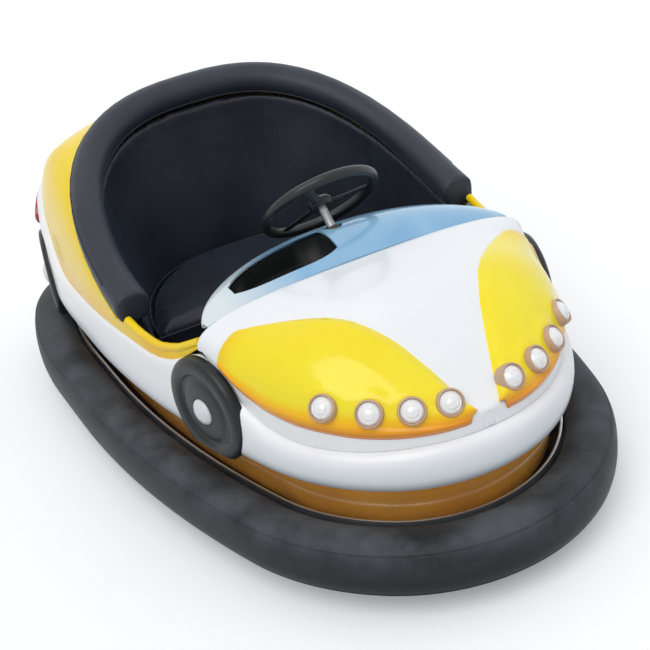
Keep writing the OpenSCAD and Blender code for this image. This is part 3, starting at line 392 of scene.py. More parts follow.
class Finish:
    """A material under construction, with one method for every kind of node."""

    def __init__(self, name):
        self.material = bpy.data.materials.new(name)
        self.material.use_nodes = True
        self.tree = self.material.node_tree
        self.shader = self.tree.nodes["Principled BSDF"]
        self.place = self.node("ShaderNodeTexCoord", output="Object")

    def connect(self, socket, value):
        if isinstance(value, Signal):
            self.tree.links.new(value.socket, socket)
        elif isinstance(value, (tuple, list)) and len(value) == 3 and socket.type == "RGBA":
            socket.default_value = (*value, 1)
        else:
            socket.default_value = value

    def node(self, kind, settings=None, inputs=None, output=0):
        made = self.tree.nodes.new(kind)
        for key, value in (settings or {}).items():
            if key == "stops":
                ramp = made.color_ramp
                while len(ramp.elements) < len(value):
                    ramp.elements.new(0.5)
                for element, (spot, colour) in zip(ramp.elements, value):
                    element.position = spot
                    element.color = (*colour, 1) if isinstance(colour, tuple) else (colour, colour, colour, 1)
            else:
                setattr(made, key, value)
        for key, value in (inputs or {}).items():
            self.connect(made.inputs[key], value)
        return Signal(self, made.outputs[output])

    def noise(self, scale, detail=3, stretch=(1, 1, 1), rough=0.55):
        where = self.node("ShaderNodeMapping", {}, {"Vector": self.place, "Scale": stretch})
        inputs = {"Vector": where, "Scale": scale, "Detail": detail, "Roughness": rough}
        return self.node("ShaderNodeTexNoise", {}, inputs)

    def ramp(self, value, *stops):
        return self.node("ShaderNodeValToRGB", {"stops": stops}, {"Fac": value})

    def rise(self, signal, first, last):
        return self.ramp(signal, (first, 0.0), (last, 1.0))

    def fall(self, signal, first, last):
        return self.ramp(signal, (first, 1.0), (last, 0.0))

    def specked(self, body, tint, amount, scale, first, last):
        """A colour with small scattered marks of a tint."""
        return self.blend(self.rise(self.noise(scale, 5, rough=0.7), first, last) * amount, body, tint)

    def blend(self, amount, first, second):
        return self.node("ShaderNodeMix", {"data_type": "RGBA"}, {0: amount, 6: first, 7: second}, output=2)

    def height(self):
        return self.axis(2)

    def axis(self, index):
        return self.node("ShaderNodeSeparateXYZ", {}, {0: self.place}, output=index)

    def attribute(self, name):
        return self.node("ShaderNodeAttribute", {"attribute_name": name}, output=2)

    def bump(self, *layers):
        """Layers of (height signal, strength, distance in metres), one over the other."""
        normal = None
        for signal, strength, distance in layers:
            inputs = {"Height": signal, "Strength": strength, "Distance": distance}
            if normal is not None:
                inputs["Normal"] = normal
            normal = self.node("ShaderNodeBump", {}, inputs)
        return normal

    def peel(self, scale, depth):
        """Slow waves with fine orange peel over them."""
        return self.bump((self.noise(scale, 2), depth, 0.004), (self.noise(260, 2), 0.05, 0.0004))

    def set(self, **sockets):
        for key, value in sockets.items():
            self.connect(self.shader.inputs[key.replace("_", " ")], value)
        return self.material


def moulded(name, colour, shade_colour, dirt=0.35, coat=0.6, rough=0.16, dirt_top=0.30, low_shade_paint=None):
    """Glossy moulded shell: slow change of colour, fine orange peel, dust low down, and an optional tint low
    down that is painted shade.
    """
    look = Finish(name)
    cloud = look.noise(3.2, 4)
    body = look.blend(look.rise(cloud, 0.38, 0.68), colour, shade_colour)
    if low_shade_paint:
        # Painted shade: a blue-grey tint blended over the lowest part of the shell
        painted_low_shade = look.ramp(look.height() + 0.03 * (cloud - 0.5), (0.255, 0.55), (0.345, 0.0))
        body = look.blend(painted_low_shade, body, low_shade_paint)
    low = look.fall(look.height() * (1 / dirt_top), 0.45, 1.0)
    grime = low * look.rise(look.noise(14, 5), 0.35, 0.75) * dirt
    body = look.blend(grime, body, (0.09, 0.075, 0.06))
    body = look.specked(body, (0.13, 0.11, 0.1), 0.05 + 0.15 * low, 95, 0.60, 0.72)
    return look.set(Base_Color=body, Roughness=rough + 0.10 * cloud + 0.45 * grime,
                    Coat_Weight=coat - 0.5 * grime, Coat_Roughness=0.06, Specular_IOR_Level=0.5,
                    Normal=look.peel(7, 0.12))


def painted_shell():
    """Wing colour: lemon on top, a golden to orange border along the lower edge, with faint mottling."""
    look = Finish("wing_yellow")
    border = look.attribute("border") + 0.12 * (look.noise(16, 3) - 0.5)
    tip = look.attribute("tip")
    cloud = look.noise(4.5, 4)
    top = look.blend(look.rise(cloud, 0.36, 0.66), (0.94, 0.74, 0.006), (0.95, 0.81, 0.028))
    top = look.blend(tip, top, (0.90, 0.60, 0.004))
    edge = look.ramp(border, (0.0, (0.90, 0.68, 0.015)), (0.32, (0.94, 0.62, 0.003)),
                     (0.54, (0.93, 0.47, 0.002)), (0.78, (0.84, 0.29, 0.002)), (1.0, (0.68, 0.20, 0.003)))
    body = look.blend(look.rise(border, 0.12, 0.36), top, edge)
    body = look.specked(body, (0.3, 0.2, 0.05), 0.08, 110, 0.63, 0.73)
    return look.set(Base_Color=body, Roughness=0.17 + 0.08 * cloud, Coat_Weight=0.3, Coat_Roughness=0.05,
                    Specular_IOR_Level=0.25, Normal=look.peel(7, 0.10))


def rear_yellow():
    """Rear shell: yellow that turns orange low down and toward the front of the side."""
    look = Finish("rear_yellow")
    cloud = look.noise(3.6, 4)
    warm = look.fall(look.height() + 0.02 * (cloud - 0.5), 0.40, 0.462)
    body = look.blend(warm * 0.75, (0.93, 0.65, 0.003), (0.90, 0.42, 0.002))
    body = look.blend(look.ramp(cloud, (0.4, 0.0), (0.7, 0.5)), body, (0.94, 0.72, 0.008))
    body = look.specked(body, (0.2, 0.14, 0.05), 0.08, 100, 0.62, 0.73)
    return look.set(Base_Color=body, Roughness=0.18 + 0.08 * cloud, Coat_Weight=0.12, Coat_Roughness=0.06,
                    Specular_IOR_Level=0.2, Normal=look.peel(6, 0.12))


def cowl_blue():
    """Dash hump: sky blue in the middle, fading to a pale rim on the right."""
    look = Finish("cowl_blue")
    cloud = look.noise(3.4, 4)
    pale = look.fall(look.axis(1) + 0.08 * (cloud - 0.5) + 0.5, 0.17, 0.36)
    body = look.blend(look.rise(cloud, 0.36, 0.68), (0.19, 0.41, 0.64), (0.36, 0.58, 0.76))
    body = look.blend(pale, body, (0.70, 0.76, 0.77))
    body = look.specked(body, (0.13, 0.12, 0.11), 0.06, 100, 0.62, 0.73)
    return look.set(Base_Color=body, Roughness=0.14 + 0.08 * cloud, Coat_Weight=0.3, Coat_Roughness=0.06,
                    Normal=look.peel(7, 0.10))


def dusty_rubber():
    """Bumper rubber: near black at the sides, grey with dust and scuffs on the dome."""
    look = Finish("bumper_rubber")
    height = look.height()
    dome = look.ramp(height, (0.105, 0.0), (0.165, 0.75), (0.18, 1.0))
    cloud = look.noise(9, 5)
    streak = look.noise(22, 4, (1, 1, 5))
    dust = dome * (0.12 + 0.95 * look.rise(cloud, 0.36, 0.66))
    scuff = look.rise(look.noise(55, 6, (1, 1, 3), 0.7), 0.60, 0.70) * (0.25 + 0.5 * dome)
    body = look.blend(dust * 0.8, (0.011, 0.0135, 0.0165), (0.094, 0.104, 0.114))
    body = look.blend(scuff * 0.45, body, (0.12, 0.125, 0.13))
    mark = look.rise(look.noise(6, 3, (1, 1, 0.6)), 0.62, 0.74) * (1 - dome)
    body = look.blend(mark * 0.35, body, (0.055, 0.055, 0.052))
    return look.set(Base_Color=body, Roughness=0.42 + 0.30 * dust + 0.12 * streak, Specular_IOR_Level=0.24,
                    Normal=look.bump((cloud, 0.25, 0.003), (look.noise(330, 3), 0.16, 0.0006)))


def metal(name, colour, rough, rust):
    """Brushed metal with a long grain and spots of rust."""
    look = Finish(name)
    grain = look.noise(60, 4, (1, 1, 14))
    spots = look.rise(look.noise(24, 6, rough=0.7), 0.56, 0.70) * rust
    body = look.blend(grain * 0.5, colour, tuple(0.62 * c for c in colour))
    body = look.blend(spots, body, (0.17, 0.075, 0.03))
    return look.set(Base_Color=body, Metallic=1.0 - 0.9 * spots, Roughness=rough + 0.14 * grain + 0.4 * spots,
                    Normal=look.bump((grain, 0.10, 0.0004), (spots, 0.3, 0.0004)))


def frame_paint(name, colour, rough=0.5, wear=0.5):
    """Frame paint with dust in the broad places and small chips to bare metal."""
    look = Finish(name)
    cloud = look.noise(12, 5)
    chip = look.rise(look.noise(70, 6, rough=0.75), 0.64, 0.67) * wear
    body = look.blend(look.ramp(cloud, (0.35, 0.0), (0.75, 0.55)), colour, (0.10, 0.088, 0.072))
    body = look.blend(chip, body, (0.20, 0.17, 0.15))
    return look.set(Base_Color=body, Metallic=0.6 * chip, Roughness=rough + 0.2 * cloud,
                    Normal=look.bump((look.noise(180, 3), 0.15, 0.0005), (chip, 0.4, 0.0003)))


def vinyl(name, colour, painted_sheen_colour, shine=0.34):
    """Upholstery vinyl: leather grain, soft creases, a bluish sheen, and a painted sheen of cloudy lighter
    blue-grey patches in its colour.
    """
    look = Finish(name)
    cells = {"Vector": look.place, "Scale": 420}
    grain = look.rise(look.node("ShaderNodeTexVoronoi", {"feature": "DISTANCE_TO_EDGE"}, cells), 0.0, 0.14)
    crease = look.noise(26, 5, rough=0.6)
    cloud = look.noise(5, 4)
    # Painted sheen: cloudy patches of the lighter blue-grey stand in for highlights
    body = look.blend(look.rise(cloud, 0.35, 0.7), colour, painted_sheen_colour)
    body = look.blend(0.25 * (1 - grain), body, (0.004, 0.004, 0.005))
    return look.set(Base_Color=body, Roughness=shine + 0.16 * cloud + 0.08 * (1 - grain), Sheen_Weight=0.12,
                    Sheen_Roughness=0.4, Sheen_Tint=(0.5, 0.65, 0.95, 1), Specular_IOR_Level=0.36,
                    Normal=look.bump((crease, 0.16, 0.004), (grain, 0.20, 0.0004)))


def plastic(name, colour, rough, coat=0.0, grain=300, dust=0.3):
    """Plain moulded plastic or rubber with fine grain, dust and specks."""
    look = Finish(name)
    cloud = look.noise(11, 4)
    dusty = tuple(c * 0.7 + 0.03 for c in colour)
    body = look.blend(look.rise(cloud, 0.35, 0.75) * dust, colour, dusty)
    body = look.specked(body, (0.2, 0.19, 0.18), 0.1, 130, 0.58, 0.72)
    return look.set(Base_Color=body, Roughness=rough + 0.12 * cloud, Coat_Weight=coat, Coat_Roughness=0.08,
                    Specular_IOR_Level=0.36,
                    Normal=look.bump((look.noise(grain, 3), 0.14, 0.0004), (cloud, 0.05, 0.002)))


def lens(name, colour, inner, rib=None):
    """Lens with level prisms at a pitch of rib metres, or, without rib, a near white lens mottled by noise,
    whose colour is a painted reflector shine.
    """
    look = Finish(name)
    if rib:
        turn = look.height() * (2 * pi / rib)
        ring = 0.5 + 0.5 * look.node("ShaderNodeMath", {"operation": "SINE"}, {0: turn})
    else:
        ring = look.rise(look.noise(160, 2), 0.4, 0.6)
    return look.set(Base_Color=look.blend(ring * 0.6, colour, inner), Roughness=0.05 + 0.04 * ring, IOR=1.45,
                    Transmission_Weight=0.1, Coat_Weight=1.0, Coat_Roughness=0.02,
                    Normal=look.bump((ring, 0.12, 0.0006)))


# The white shell's blue-grey low tint is painted shade on the band's lower lip.
WHITE = moulded("shell_white", (0.86, 0.875, 0.89), (0.90, 0.91, 0.92), dirt=0.3, coat=0.2, rough=0.26,
                low_shade_paint=(0.42, 0.53, 0.60))
ORANGE = moulded("skirt_orange", (0.64, 0.255, 0.04), (0.72, 0.33, 0.05), dirt=0.5, dirt_top=0.26)
WING = painted_shell()
REAR = rear_yellow()
RUBBER = dusty_rubber()
STEEL = metal("bright_steel", (0.62, 0.64, 0.67), 0.24, rust=0.10)
DRIVE_STEEL = metal("drive_steel", (0.40, 0.41, 0.43), 0.36, rust=0.45)
IRON = metal("wheel_iron", (0.26, 0.27, 0.28), 0.45, rust=0.35)
CHASSIS = frame_paint("chassis_paint", (0.014, 0.015, 0.017), 0.48)
MOTOR = frame_paint("motor_paint", (0.045, 0.085, 0.13), 0.38, 0.35)
# The second colour of each vinyl is a painted bluish sheen.
VINYL = vinyl("seat_vinyl", (0.0095, 0.012, 0.018), (0.020, 0.026, 0.040))
ROLL = vinyl("roll_vinyl", (0.016, 0.020, 0.029), (0.028, 0.035, 0.048), 0.38)
BLACK = plastic("black_plastic", (0.008, 0.0085, 0.01), 0.42)
GRIP = plastic("wheel_grip", (0.007, 0.0075, 0.009), 0.34, 0.15, grain=420)
DISC = plastic("dummy_wheel_black", (0.0045, 0.0075, 0.009), 0.34, 0.05, dust=0.12)
TRAY = plastic("tray_black", (0.004, 0.0045, 0.005), 0.5)
MAT = plastic("mat_rubber", (0.012, 0.012, 0.013), 0.7, grain=200, dust=0.7)
TYRE = plastic("tyre_rubber", (0.014, 0.014, 0.015), 0.75, grain=160, dust=0.8)
CAP = plastic("cap_white", (0.72, 0.75, 0.78), 0.2, 0.6, dust=0.15)
BEZEL = plastic("bezel_tan", (0.56, 0.37, 0.25), 0.3, 0.2, dust=0.15)
COWL = cowl_blue()
LINER = moulded("liner_pale", (0.30, 0.40, 0.52), (0.52, 0.62, 0.72), dirt=0.35, coat=0.6, dirt_top=0.42)
RED = plastic("button_red", (0.50, 0.012, 0.018), 0.22, 0.6, dust=0.1)
# Painted reflection: the clear lamp's near white colour and its mottling stand in for the shine of a
# reflector behind clear glass.
LAMP = lens("lamp_clear", (0.96, 0.96, 0.96), (0.90, 0.88, 0.86))
TAIL = lens("lamp_red", (0.40, 0.006, 0.016), (0.22, 0.002, 0.007), rib=0.0085)
SOCKET = frame_paint("socket_black", (0.010, 0.0105, 0.012), 0.4, 0.3)


def finish(piece, material, slot, *nodes, body="car", angle=32):
    """Gives a piece its material, its body and the nodes that it stands for. The slot argument is not used.
    """
    piece.data.materials.clear()
    piece.data.materials.append(material)
    work_on(piece)
    bpy.ops.object.shade_smooth_by_angle(angle=radians(angle))
    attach(piece, body)
    if nodes:
        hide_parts(*nodes)
    return piece


def dress(material, *nodes):
    """Gives CAD nodes that stay in view a better material."""
    for node in nodes:
        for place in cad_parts[node].material_slots:
            place.material = material


dress(CHASSIS, "chassis_pan", "chassis_rails", "body_upstand", "drive_bridge", "rear_brackets", "bulkhead",
      "seat_box")
dress(DRIVE_STEEL, "drive_fork", "drive_axle", "rear_axles", "steering_shaft")
dress(SOCKET, "column_tube")
dress(IRON, "drive_rim", "rear_rim_left", "rear_rim_right")

# Bumper
BUMPER_W, BUMPER_H, BUMPER_Z, BUMPER_POWER = 118, 130, 50, 2.7
HOOP_INSET, HOOP_T, HOOP_H = 116, 6, 112
GROOVES = ((41, 2.6), (-38, 2.6))       # angle round the section from the outermost line, depth
GROOVE_HALF = 2.6                       # degrees


def bumper_section():
    """The squarish oval of the rubber, with two grooves run into its outer shoulders."""
    angles = [a for a in range(-180, 180, 9) if all(abs(a - g) > 8 for g, _ in GROOVES)]
    angles += [g + k * GROOVE_HALF for g, _ in GROOVES for k in range(-2, 3)]
    points = []
    for a in sorted(angles):
        depth = sum(deep * (1, 0.75, 0)[min(2, round(abs(a - g) / GROOVE_HALF))] for g, deep in GROOVES
                    if abs(a - g) < 8)
        c, s = cos(radians(a)), sin(radians(a))
        x = abs(c) ** (2 / BUMPER_POWER) * (1 if c > 0 else -1)
        z = abs(s) ** (2 / BUMPER_POWER) * (1 if s > 0 else -1)
        points.append((min(HOOP_INSET, BUMPER_W / 2 * (1 - x) + depth * c),
                       BUMPER_Z + BUMPER_H / 2 * (1 + z) - depth * s))
    return points


finish(ring_of("rubber_bumper", bumper_section(), 4), RUBBER, "bumper_rubber", "bumper_ring", angle=24)
hoop_low = BUMPER_Z + (BUMPER_H - HOOP_H) / 2
hoop = ring_of("steel_hoop", [(HOOP_INSET + 0.2, hoop_low + HOOP_H), (HOOP_INSET + 0.2, hoop_low),
                              (HOOP_INSET + HOOP_T, hoop_low), (HOOP_INSET + HOOP_T, hoop_low + HOOP_H)], 4)
finish(rounded(hoop, 1.2), STEEL, "bright_steel", "bumper_hoop")

# Shell
UPSTAND_INSET, UPSTAND_TOP = 150, 160


def skirt_section(station):
    """The skirt from behind the band's lip down to the upstand that carries it."""
    lip, low = lip_at(station), LIP_INSET + 12 + tail_in(station) / 2
    top = LIP_INSET + 4.3 + tail_in(station)
    return [(top, lip + 8), (top + 0.4, lip - 4), (low, lip - 30),
            (UPSTAND_INSET - SHELL, UPSTAND_TOP + 6), (UPSTAND_INSET - SHELL, UPSTAND_TOP - 14),
            (UPSTAND_INSET - 0.3, UPSTAND_TOP - 14), (UPSTAND_INSET - 0.3, UPSTAND_TOP + 7),
            (low + SHELL, lip - 30), (top + SHELL, lip + 8)]


finish(rounded(ring_of("orange_skirt", skirt_section, 3), 2), ORANGE, "orange_shell", "lower_skirt")


def band_section(station):
    """The band's outer face from its top edge down to the lip, and back up its inner face."""
    top, edge = edge_z(edge_at(station)[0]) + brow(station), edge_inset(station)
    set_in, lip = tail_in(station), lip_at(station)
    foot, mid = LIP_INSET + set_in, lip + 48
    belly = BELLY_INSET + set_in + min(0, edge - set_in - 96) * 0.5
    shoulder, inside = mix(edge, belly, 0.62), belly + SHELL
    return [(edge, top), (shoulder, top - 6), (belly + 1, top - 20), (belly - 0.5, mid + 8),
            (belly + 1, mid - 14), (belly + 6, lip + 20), (foot - 9, lip + 6), (foot - 2, lip),
            (foot + 3, lip), (foot + 4, lip + 5), (inside + 6, lip + 26), (inside, mid),
            (inside + 1, top - 23), (shoulder + 3, top - 12), (edge + SHELL, top - 6),
            (edge + SHELL, top - 0.5)]


DUMMY_R, POCKET_INSET = 122, 104
DUMMIES = {412: 348, -600: 308}         # place along the car, height
CLIP_Z = LIP_Z + 3.5


def on_side(x, face):
    """The frame of a wheel disc set into the left side: its middle, with Z pointing out of the side."""
    cx, cy, radius = (FRONT_ARCS if x > 0 else REAR_ARCS)[0][:3]
    heading = asin((x - cx) / (radius - SILL_INSET))
    px, py = at((cx, cy, radius, degrees(heading)), face)
    return (Matrix.Translation(Vector((px, py, DUMMIES[x])) * MM) @ Matrix.Rotation(-heading, 4, "Z")
            @ Matrix.Rotation(radians(-90), 4, "X"))


def side_cutter(x, mirror):
    cutter = post(DUMMY_R + 0.3, 160, 96)
    cutter.data.transform(on_side(x, POCKET_INSET))
    if mirror:
        cutter.data.transform(MIRROR_Y)
        cutter.data.flip_normals()
    return cutter


band = subdivided(ring_of("white_band", band_section, 2), 1)
cut(band, *[side_cutter(x, m) for x in DUMMIES for m in (False, True)])
finish(band, WHITE, "white_shell", "body_band", angle=38)


def fine_nose(fine):
    """Stations from the hood's rear edge to the nose."""
    return [s for s in left_stations(fine)[::-1] if edge_at(s)[0] > HOOD_REAR_X + 6 and edge_at(s)[1] > 10]


def hood_rows():
    """Sections across the hood from its rear edge to the nose, and the turn down at the tip."""
    edges = [edge_at(side_station(HOOD_REAR_X))] + [edge_at(s) for s in fine_nose(6)]
    edges.append((HALF_LENGTH - EDGE_INSET - 0.6, 9))
    across = [sin(radians(k * 5)) for k in range(-18, 19)]
    rows = []
    for xe, ye in edges:
        xe = max(xe, HOOD_REAR_X)
        rows.append([(xe, v * ye, hood_at(xe, v * ye, ye)) for v in across])
    nose = rows[-1]
    low = edge_z(nose[0][0])
    for ahead, tall in ((0.2, 0.8), (0.4, 0.45), (0.6, 0.05)):
        rows.append([(x + ahead, y, low + (z - low) * tall) for x, y, z in nose])
    return rows


hood = laid("white_hood", hood_rows())
finish(rounded(walled(hood, SHELL, even=False), 1.4, 50), WHITE, "white_shell", "hood", angle=40)

# Wings over the hood
# Each lamp of the left wing has its place and the bearing that it faces
LAMPS = (((846, 72, 433), 11.1), ((826, 147, 435), 24.95), ((784, 219, 438), 38.75), ((718, 286, 447), 50.5))
LAMP_TILT = 34
LAMP_R = 24
# Along the car: the share of the wing's rise, and the width of its border
WING_LIFT = [(WING_REAR_X, 0.3), (560, 0.6), (700, 1), (880, 1)]
BORDER_W = [(WING_REAR_X, 24), (520, 52), (640, 66), (760, 76), (880, 84)]
CORNER_Y = 36                           # the wings end this far from the middle of the nose
MOUND_R, MOUND_W, MOUND_H = 37, 9, 5.5


def mound(x, y, z):
    """A soft ridge that arches over each lamp."""
    lift = 0
    for (lx, ly, lz), _ in LAMPS:
        away = sqrt((x - lx) ** 2 + (y - ly) ** 2 + (z - lz) ** 2)
        above = ease((z - lz + 6) / 30)
        lift += above * MOUND_H * np.exp(-((away - MOUND_R) / MOUND_W) ** 2)
    return lift


def wing(name, node, side):
    """A raised wing from its inner line to the hood's edge, with the border and tip kept for its colours."""
    wide = 25
    rows, border, tip = [], [], []
    shelf = [edge_at(s) for s in fine_nose(3) if WING_REAR_X <= edge_at(s)[0] <= TURN_DOWN_X]
    shelf += [edge_at(s) for s in fine_nose(9) if edge_at(s)[0] > TURN_DOWN_X and edge_at(s)[1] > CORNER_Y]
    for xe, ye in shelf:
        yi = min(lookup(xe, WING_INNER), ye - 4)
        row, keep = [], min(1, (ye - yi) / 60)
        for k in range(wide):
            w = k / (wide - 1)
            y = mix(yi, ye, sin(w * pi / 2))
            lift = WING_RISE * lookup(xe, WING_LIFT) * mix(0.75, 1, min(1, 3 * w))
            edge = ease(w * 9) * (1 if w < 0.97 else 0.25)
            roll = 5 * keep * np.exp(-((w - 0.93) / 0.045) ** 2)
            z = hood_at(xe, y, ye + 1) + lift * edge
            ahead = NOSE_RISE * ease((xe - 830) / 26) * edge * (1 - w)
            x, out = xe + 6 * w + roll * 0.8 + ahead, y + 5 * w * edge * keep + roll * 0.7
            if k == wide - 1:
                x, out = xe + 1.5, ye + 1.2
            ridge = mound(x, out, z)
            row.append((x + ridge * 0.7, out + ridge * 0.3, z + ridge * 0.7))
        rows.append(row)
    for row in rows:
        length = [0]
        for a, b in zip(row[::-1], row[::-1][1:]):
            length.append(length[-1] + sqrt(sum((p - q) ** 2 for p, q in zip(a, b))))
        spread = lookup(row[0][0], BORDER_W)
        border += [1 - min(1, s / spread) for s in length[::-1]]
        tip += [ease((505 - p[0]) / 50) * 0.9 for p in row]
    rows = [[(x, side * y, z) for x, y, z in row] for row in rows]
    piece = laid(name, rows, inside_out=side < 0, merge=0.001)
    for label, values in (("border", border), ("tip", tip)):
        layer = piece.data.attributes.new(label, "FLOAT", "POINT")
        layer.data.foreach_set("value", values)
    walled(piece, 4)
    return finish(rounded(subdivided(piece), 0.8, 60), WING, "yellow_shell", node, angle=50)


wing("left_wing", "wing_left", 1)
wing("right_wing", "wing_right", -1)

# Rear cowl and the bead along the cockpit
RIM_FRONT_X, RIM_RUN, RIM_HALF_W, RIM_POWER = 90, 665, 490, 2.6
RIM_FRONT_Z, RIM_RISE, ROLL_W, ROLL_H = 512, 250, 94, 84
BENCH_Z, BENCH_T, TUB_FOOT = 300, 100, 118


def rim_plan(a, inset):
    """A point of the cockpit rim; a runs from 0 at the front to 90 at the middle of the back."""
    s, c = sin(radians(a)), max(0, cos(radians(a)))
    power = 2 / RIM_POWER
    return (RIM_FRONT_X - (RIM_RUN - inset) * s ** power, (RIM_HALF_W - inset) * c ** power)


def rim_top(a):
    return RIM_FRONT_Z + RIM_RISE * (sin(radians(a)) ** (2 / RIM_POWER)) ** 1.2


def both_sides(half):
    """Rows from the middle of the back to the left front, with their mirror."""
    return [[(x, -y, z) for x, y, z in row] for row in half[:0:-1]] + half


def bow(a, b, c, t):
    """A curve from a to c that is drawn toward b."""
    return mix(mix(a, b, t), mix(b, c, t), t)


def cowl_rows():
    stations = [side_station(mix(WIDE_X, HOOD_REAR_X - 4, k / 15)) for k in range(15, -1, -1)]
    stations += quarter_steps(REAR_ARCS, (9, 18, 20))
    outline = [at(s, 0) for s in stations]
    run = [0]
    for a, b in zip(outline, outline[1:]):
        run.append(run[-1] + hypot(b[0] - a[0], b[1] - a[1]))
    start = float(np.interp(-RIM_FRONT_X, [-p[0] for p in outline], run))
    rows = []
    for station, length in zip(stations, run):
        a = 90 * max(0, (length - start) / (run[-1] - start))
        o = edge_inset(station)
        low = at(station, o)
        high = rim_plan(a, 13) if a > 0 else at(station, o + 5)
        z1 = rim_top(a) - ROLL_H + 8 if a > 0 else soft(high[0], RIM_STRIP, 20)
        z0 = edge_z(low[0]) + brow(station)
        valley = np.exp(-(2 * low[1] / VALLEY_W) ** 4) if station[3] < 0 else 0
        full = sin(radians(a)) * (1 - valley)
        lean, share = 0.3 - 0.18 * full + 0.1 * valley, 0.82 + 0.26 * full - 0.32 * valley
        middle = (mix(low[0], high[0], lean), mix(low[1], high[1], lean), z0 + share * (z1 - z0))
        foot, top = (*low, z0 + 0.6), (*high, z1)
        rows.append([tuple(bow(p, q, r, j / 12) for p, q, r in zip(foot, middle, top)) for j in range(13)])
    return rows


cowl_half = cowl_rows()[::-1]
cowl = laid("yellow_rear", both_sides(cowl_half))
cowl = rounded(walled(cowl, SHELL), 1.2, 50)
SOCKET_X, SOCKET_TOP = -694, 690
SOCKET_ROOM = (72.6, 84.6, 121)
cut(cowl, block((SOCKET_X, 0, SOCKET_TOP - 60), SOCKET_ROOM))
finish(cowl, REAR, "yellow_shell", "rear_cowl", angle=40)


def tube(name, path, radius, closed=False, sides=14):
    """A round bead that follows a path of points."""
    rows = []
    for k, p in enumerate(path):
        ahead = path[(k + 1) % len(path)] if closed or k < len(path) - 1 else p
        behind = path[k - 1] if closed or k else p
        along = (Vector(ahead) - Vector(behind)).normalized()
        side = along.cross(Vector((0, 0, 1))).normalized()
        up = side.cross(along)
        turns = [2 * pi * j / sides for j in range(sides)]
        rows.append([tuple(Vector(p) + radius * (side * cos(t) + up * sin(t))) for t in turns])
    return loop_through(name, rows, closed)


bead_path = [row[-1] for row in cowl_half if RIM_FRONT_X - 30 < row[-1][0] < HOOD_REAR_X - 6]
beads = [tube("bead", [(x, side * (y - 4), z - 2) for x, y, z in bead_path], 10) for side in (1, -1)]
finish(joined("cockpit_bead", beads), REAR, "yellow_shell")

# Seat
SWELL_FRAMES = 20


def swell(piece, cap, pressure, voxel):
    """Stuffs a closed form: voxel remesh, cloth under pressure, each move capped, then smoothed."""
    modify(piece, "REMESH", mode="VOXEL", voxel_size=voxel * MM)
    before = np.empty(len(piece.data.vertices) * 3)
    piece.data.vertices.foreach_get("co", before)
    work_on(piece)
    cloth = piece.modifiers.new("Cloth", "CLOTH")
    cloth.settings.use_pressure = True
    cloth.settings.uniform_pressure_force = pressure
    cloth.settings.effector_weights.gravity = 0
    cloth.settings.tension_stiffness = cloth.settings.compression_stiffness = 12
    cloth.point_cache.frame_start, cloth.point_cache.frame_end = 1, SWELL_FRAMES
    for step in range(1, SWELL_FRAMES + 1):
        bpy.context.scene.frame_set(step)
    shown = piece.evaluated_get(bpy.context.evaluated_depsgraph_get())
    after = np.empty_like(before)
    shown.data.vertices.foreach_get("co", after)
    move = (after - before).reshape(-1, 3)
    far = np.linalg.norm(move, axis=1, keepdims=True)
    move *= np.minimum(1, cap * MM / np.maximum(far, 1e-9))
    piece.modifiers.remove(cloth)
    piece.data.vertices.foreach_set("co", (before.reshape(-1, 3) + move).ravel())
    piece.data.update()
    bpy.context.scene.frame_set(1)
    modify(piece, "SMOOTH", factor=0.5, iterations=4)
    return piece


RIM_STEPS = [0, 4, 8, 13, 18, 24, 30, 36, 42, 48, 54, 60, 65, 70, 75, 80, 85, 90]
ROLL_POWER = 2.35


def roll_rows(extra):
    """Sections of the padded roll from the right front end round the back to the left one."""
    half = []
    for a in RIM_STEPS:
        cx, cy = rim_plan(a, ROLL_W / 2)
        ox, oy = rim_plan(a, 0)
        away = hypot(ox - cx, oy - cy)
        nx, ny = (0, 1) if a == 0 else (-1, 0) if a == 90 else ((ox - cx) / away, (oy - cy) / away)
        section = []
        for k in range(24):
            c, s = cos(radians(k * 15)), sin(radians(k * 15))
            w = (ROLL_W / 2 + extra) * abs(c) ** (2 / ROLL_POWER) * (1 if c > 0 else -1)
            h = (ROLL_H / 2 + extra) * abs(s) ** (2 / ROLL_POWER) * (1 if s > 0 else -1)
            section.append((cx + nx * w, cy + ny * w, rim_top(a) - ROLL_H / 2 + h))
        half.append(section)
    return [[(x, -y, z) for x, y, z in row] for row in half[:-1]] + half[::-1]


ROLL_CAP = 3
roll = loop_through("seat_roll", roll_rows(-ROLL_CAP - 1), False)
roll = swell(roll, ROLL_CAP, pressure=3, voxel=6)
finish(roll, ROLL, "black_vinyl", "rim_pad", angle=60)


def on_roll(point):
    """The nearest point, in mm, of the swollen roll's surface."""
    return roll.closest_point_on_mesh(point * MM)[1] / MM


WELT_R = 2.4


def roll_seam(k):
    """Piping that lies on the swollen roll, along step k of its section."""
    return tube("seam", [on_roll(Vector(row[k])) for row in roll_rows(-2)[1:-1]], WELT_R, sides=8)


finish(joined("roll_piping", [roll_seam(15), roll_seam(2)]), VINYL, "black_vinyl")


def tub_rows(inset):
    """Lines from under the roll down to the foot of the bench, round the whole back."""
    rows = []
    for a in RIM_STEPS[::-1]:
        p0, p2 = rim_plan(a, 64 + inset), rim_plan(a, TUB_FOOT + inset)
        z = rim_top(a) - ROLL_H + 4
        rows.append([(mix(p0[0], p2[0], ease(w)), mix(p0[1], p2[1], ease(w)), mix(z, BENCH_Z - BENCH_T, w))
                     for w in (j / 10 for j in range(11))])
    return both_sides(rows)


def closed_between(name, outer, inner):
    """A closed solid between two grids of points of the same size."""
    return capped(laid(name, [list(o) + list(i)[::-1] + [o[0]] for o, i in zip(outer, inner)]))


backrest = closed_between("padded_back", tub_rows(0), tub_rows(9))
backrest = swell(backrest, 5, pressure=2.5, voxel=5)
finish(backrest, VINYL, "black_vinyl", "seat_tub", angle=60)


def cushion_outline(grow):
    left = [rim_plan(a, TUB_FOOT + 17 - grow) for a in range(12, 91, 6)]
    return left + [(x, -y) for x, y in left[-2::-1]]


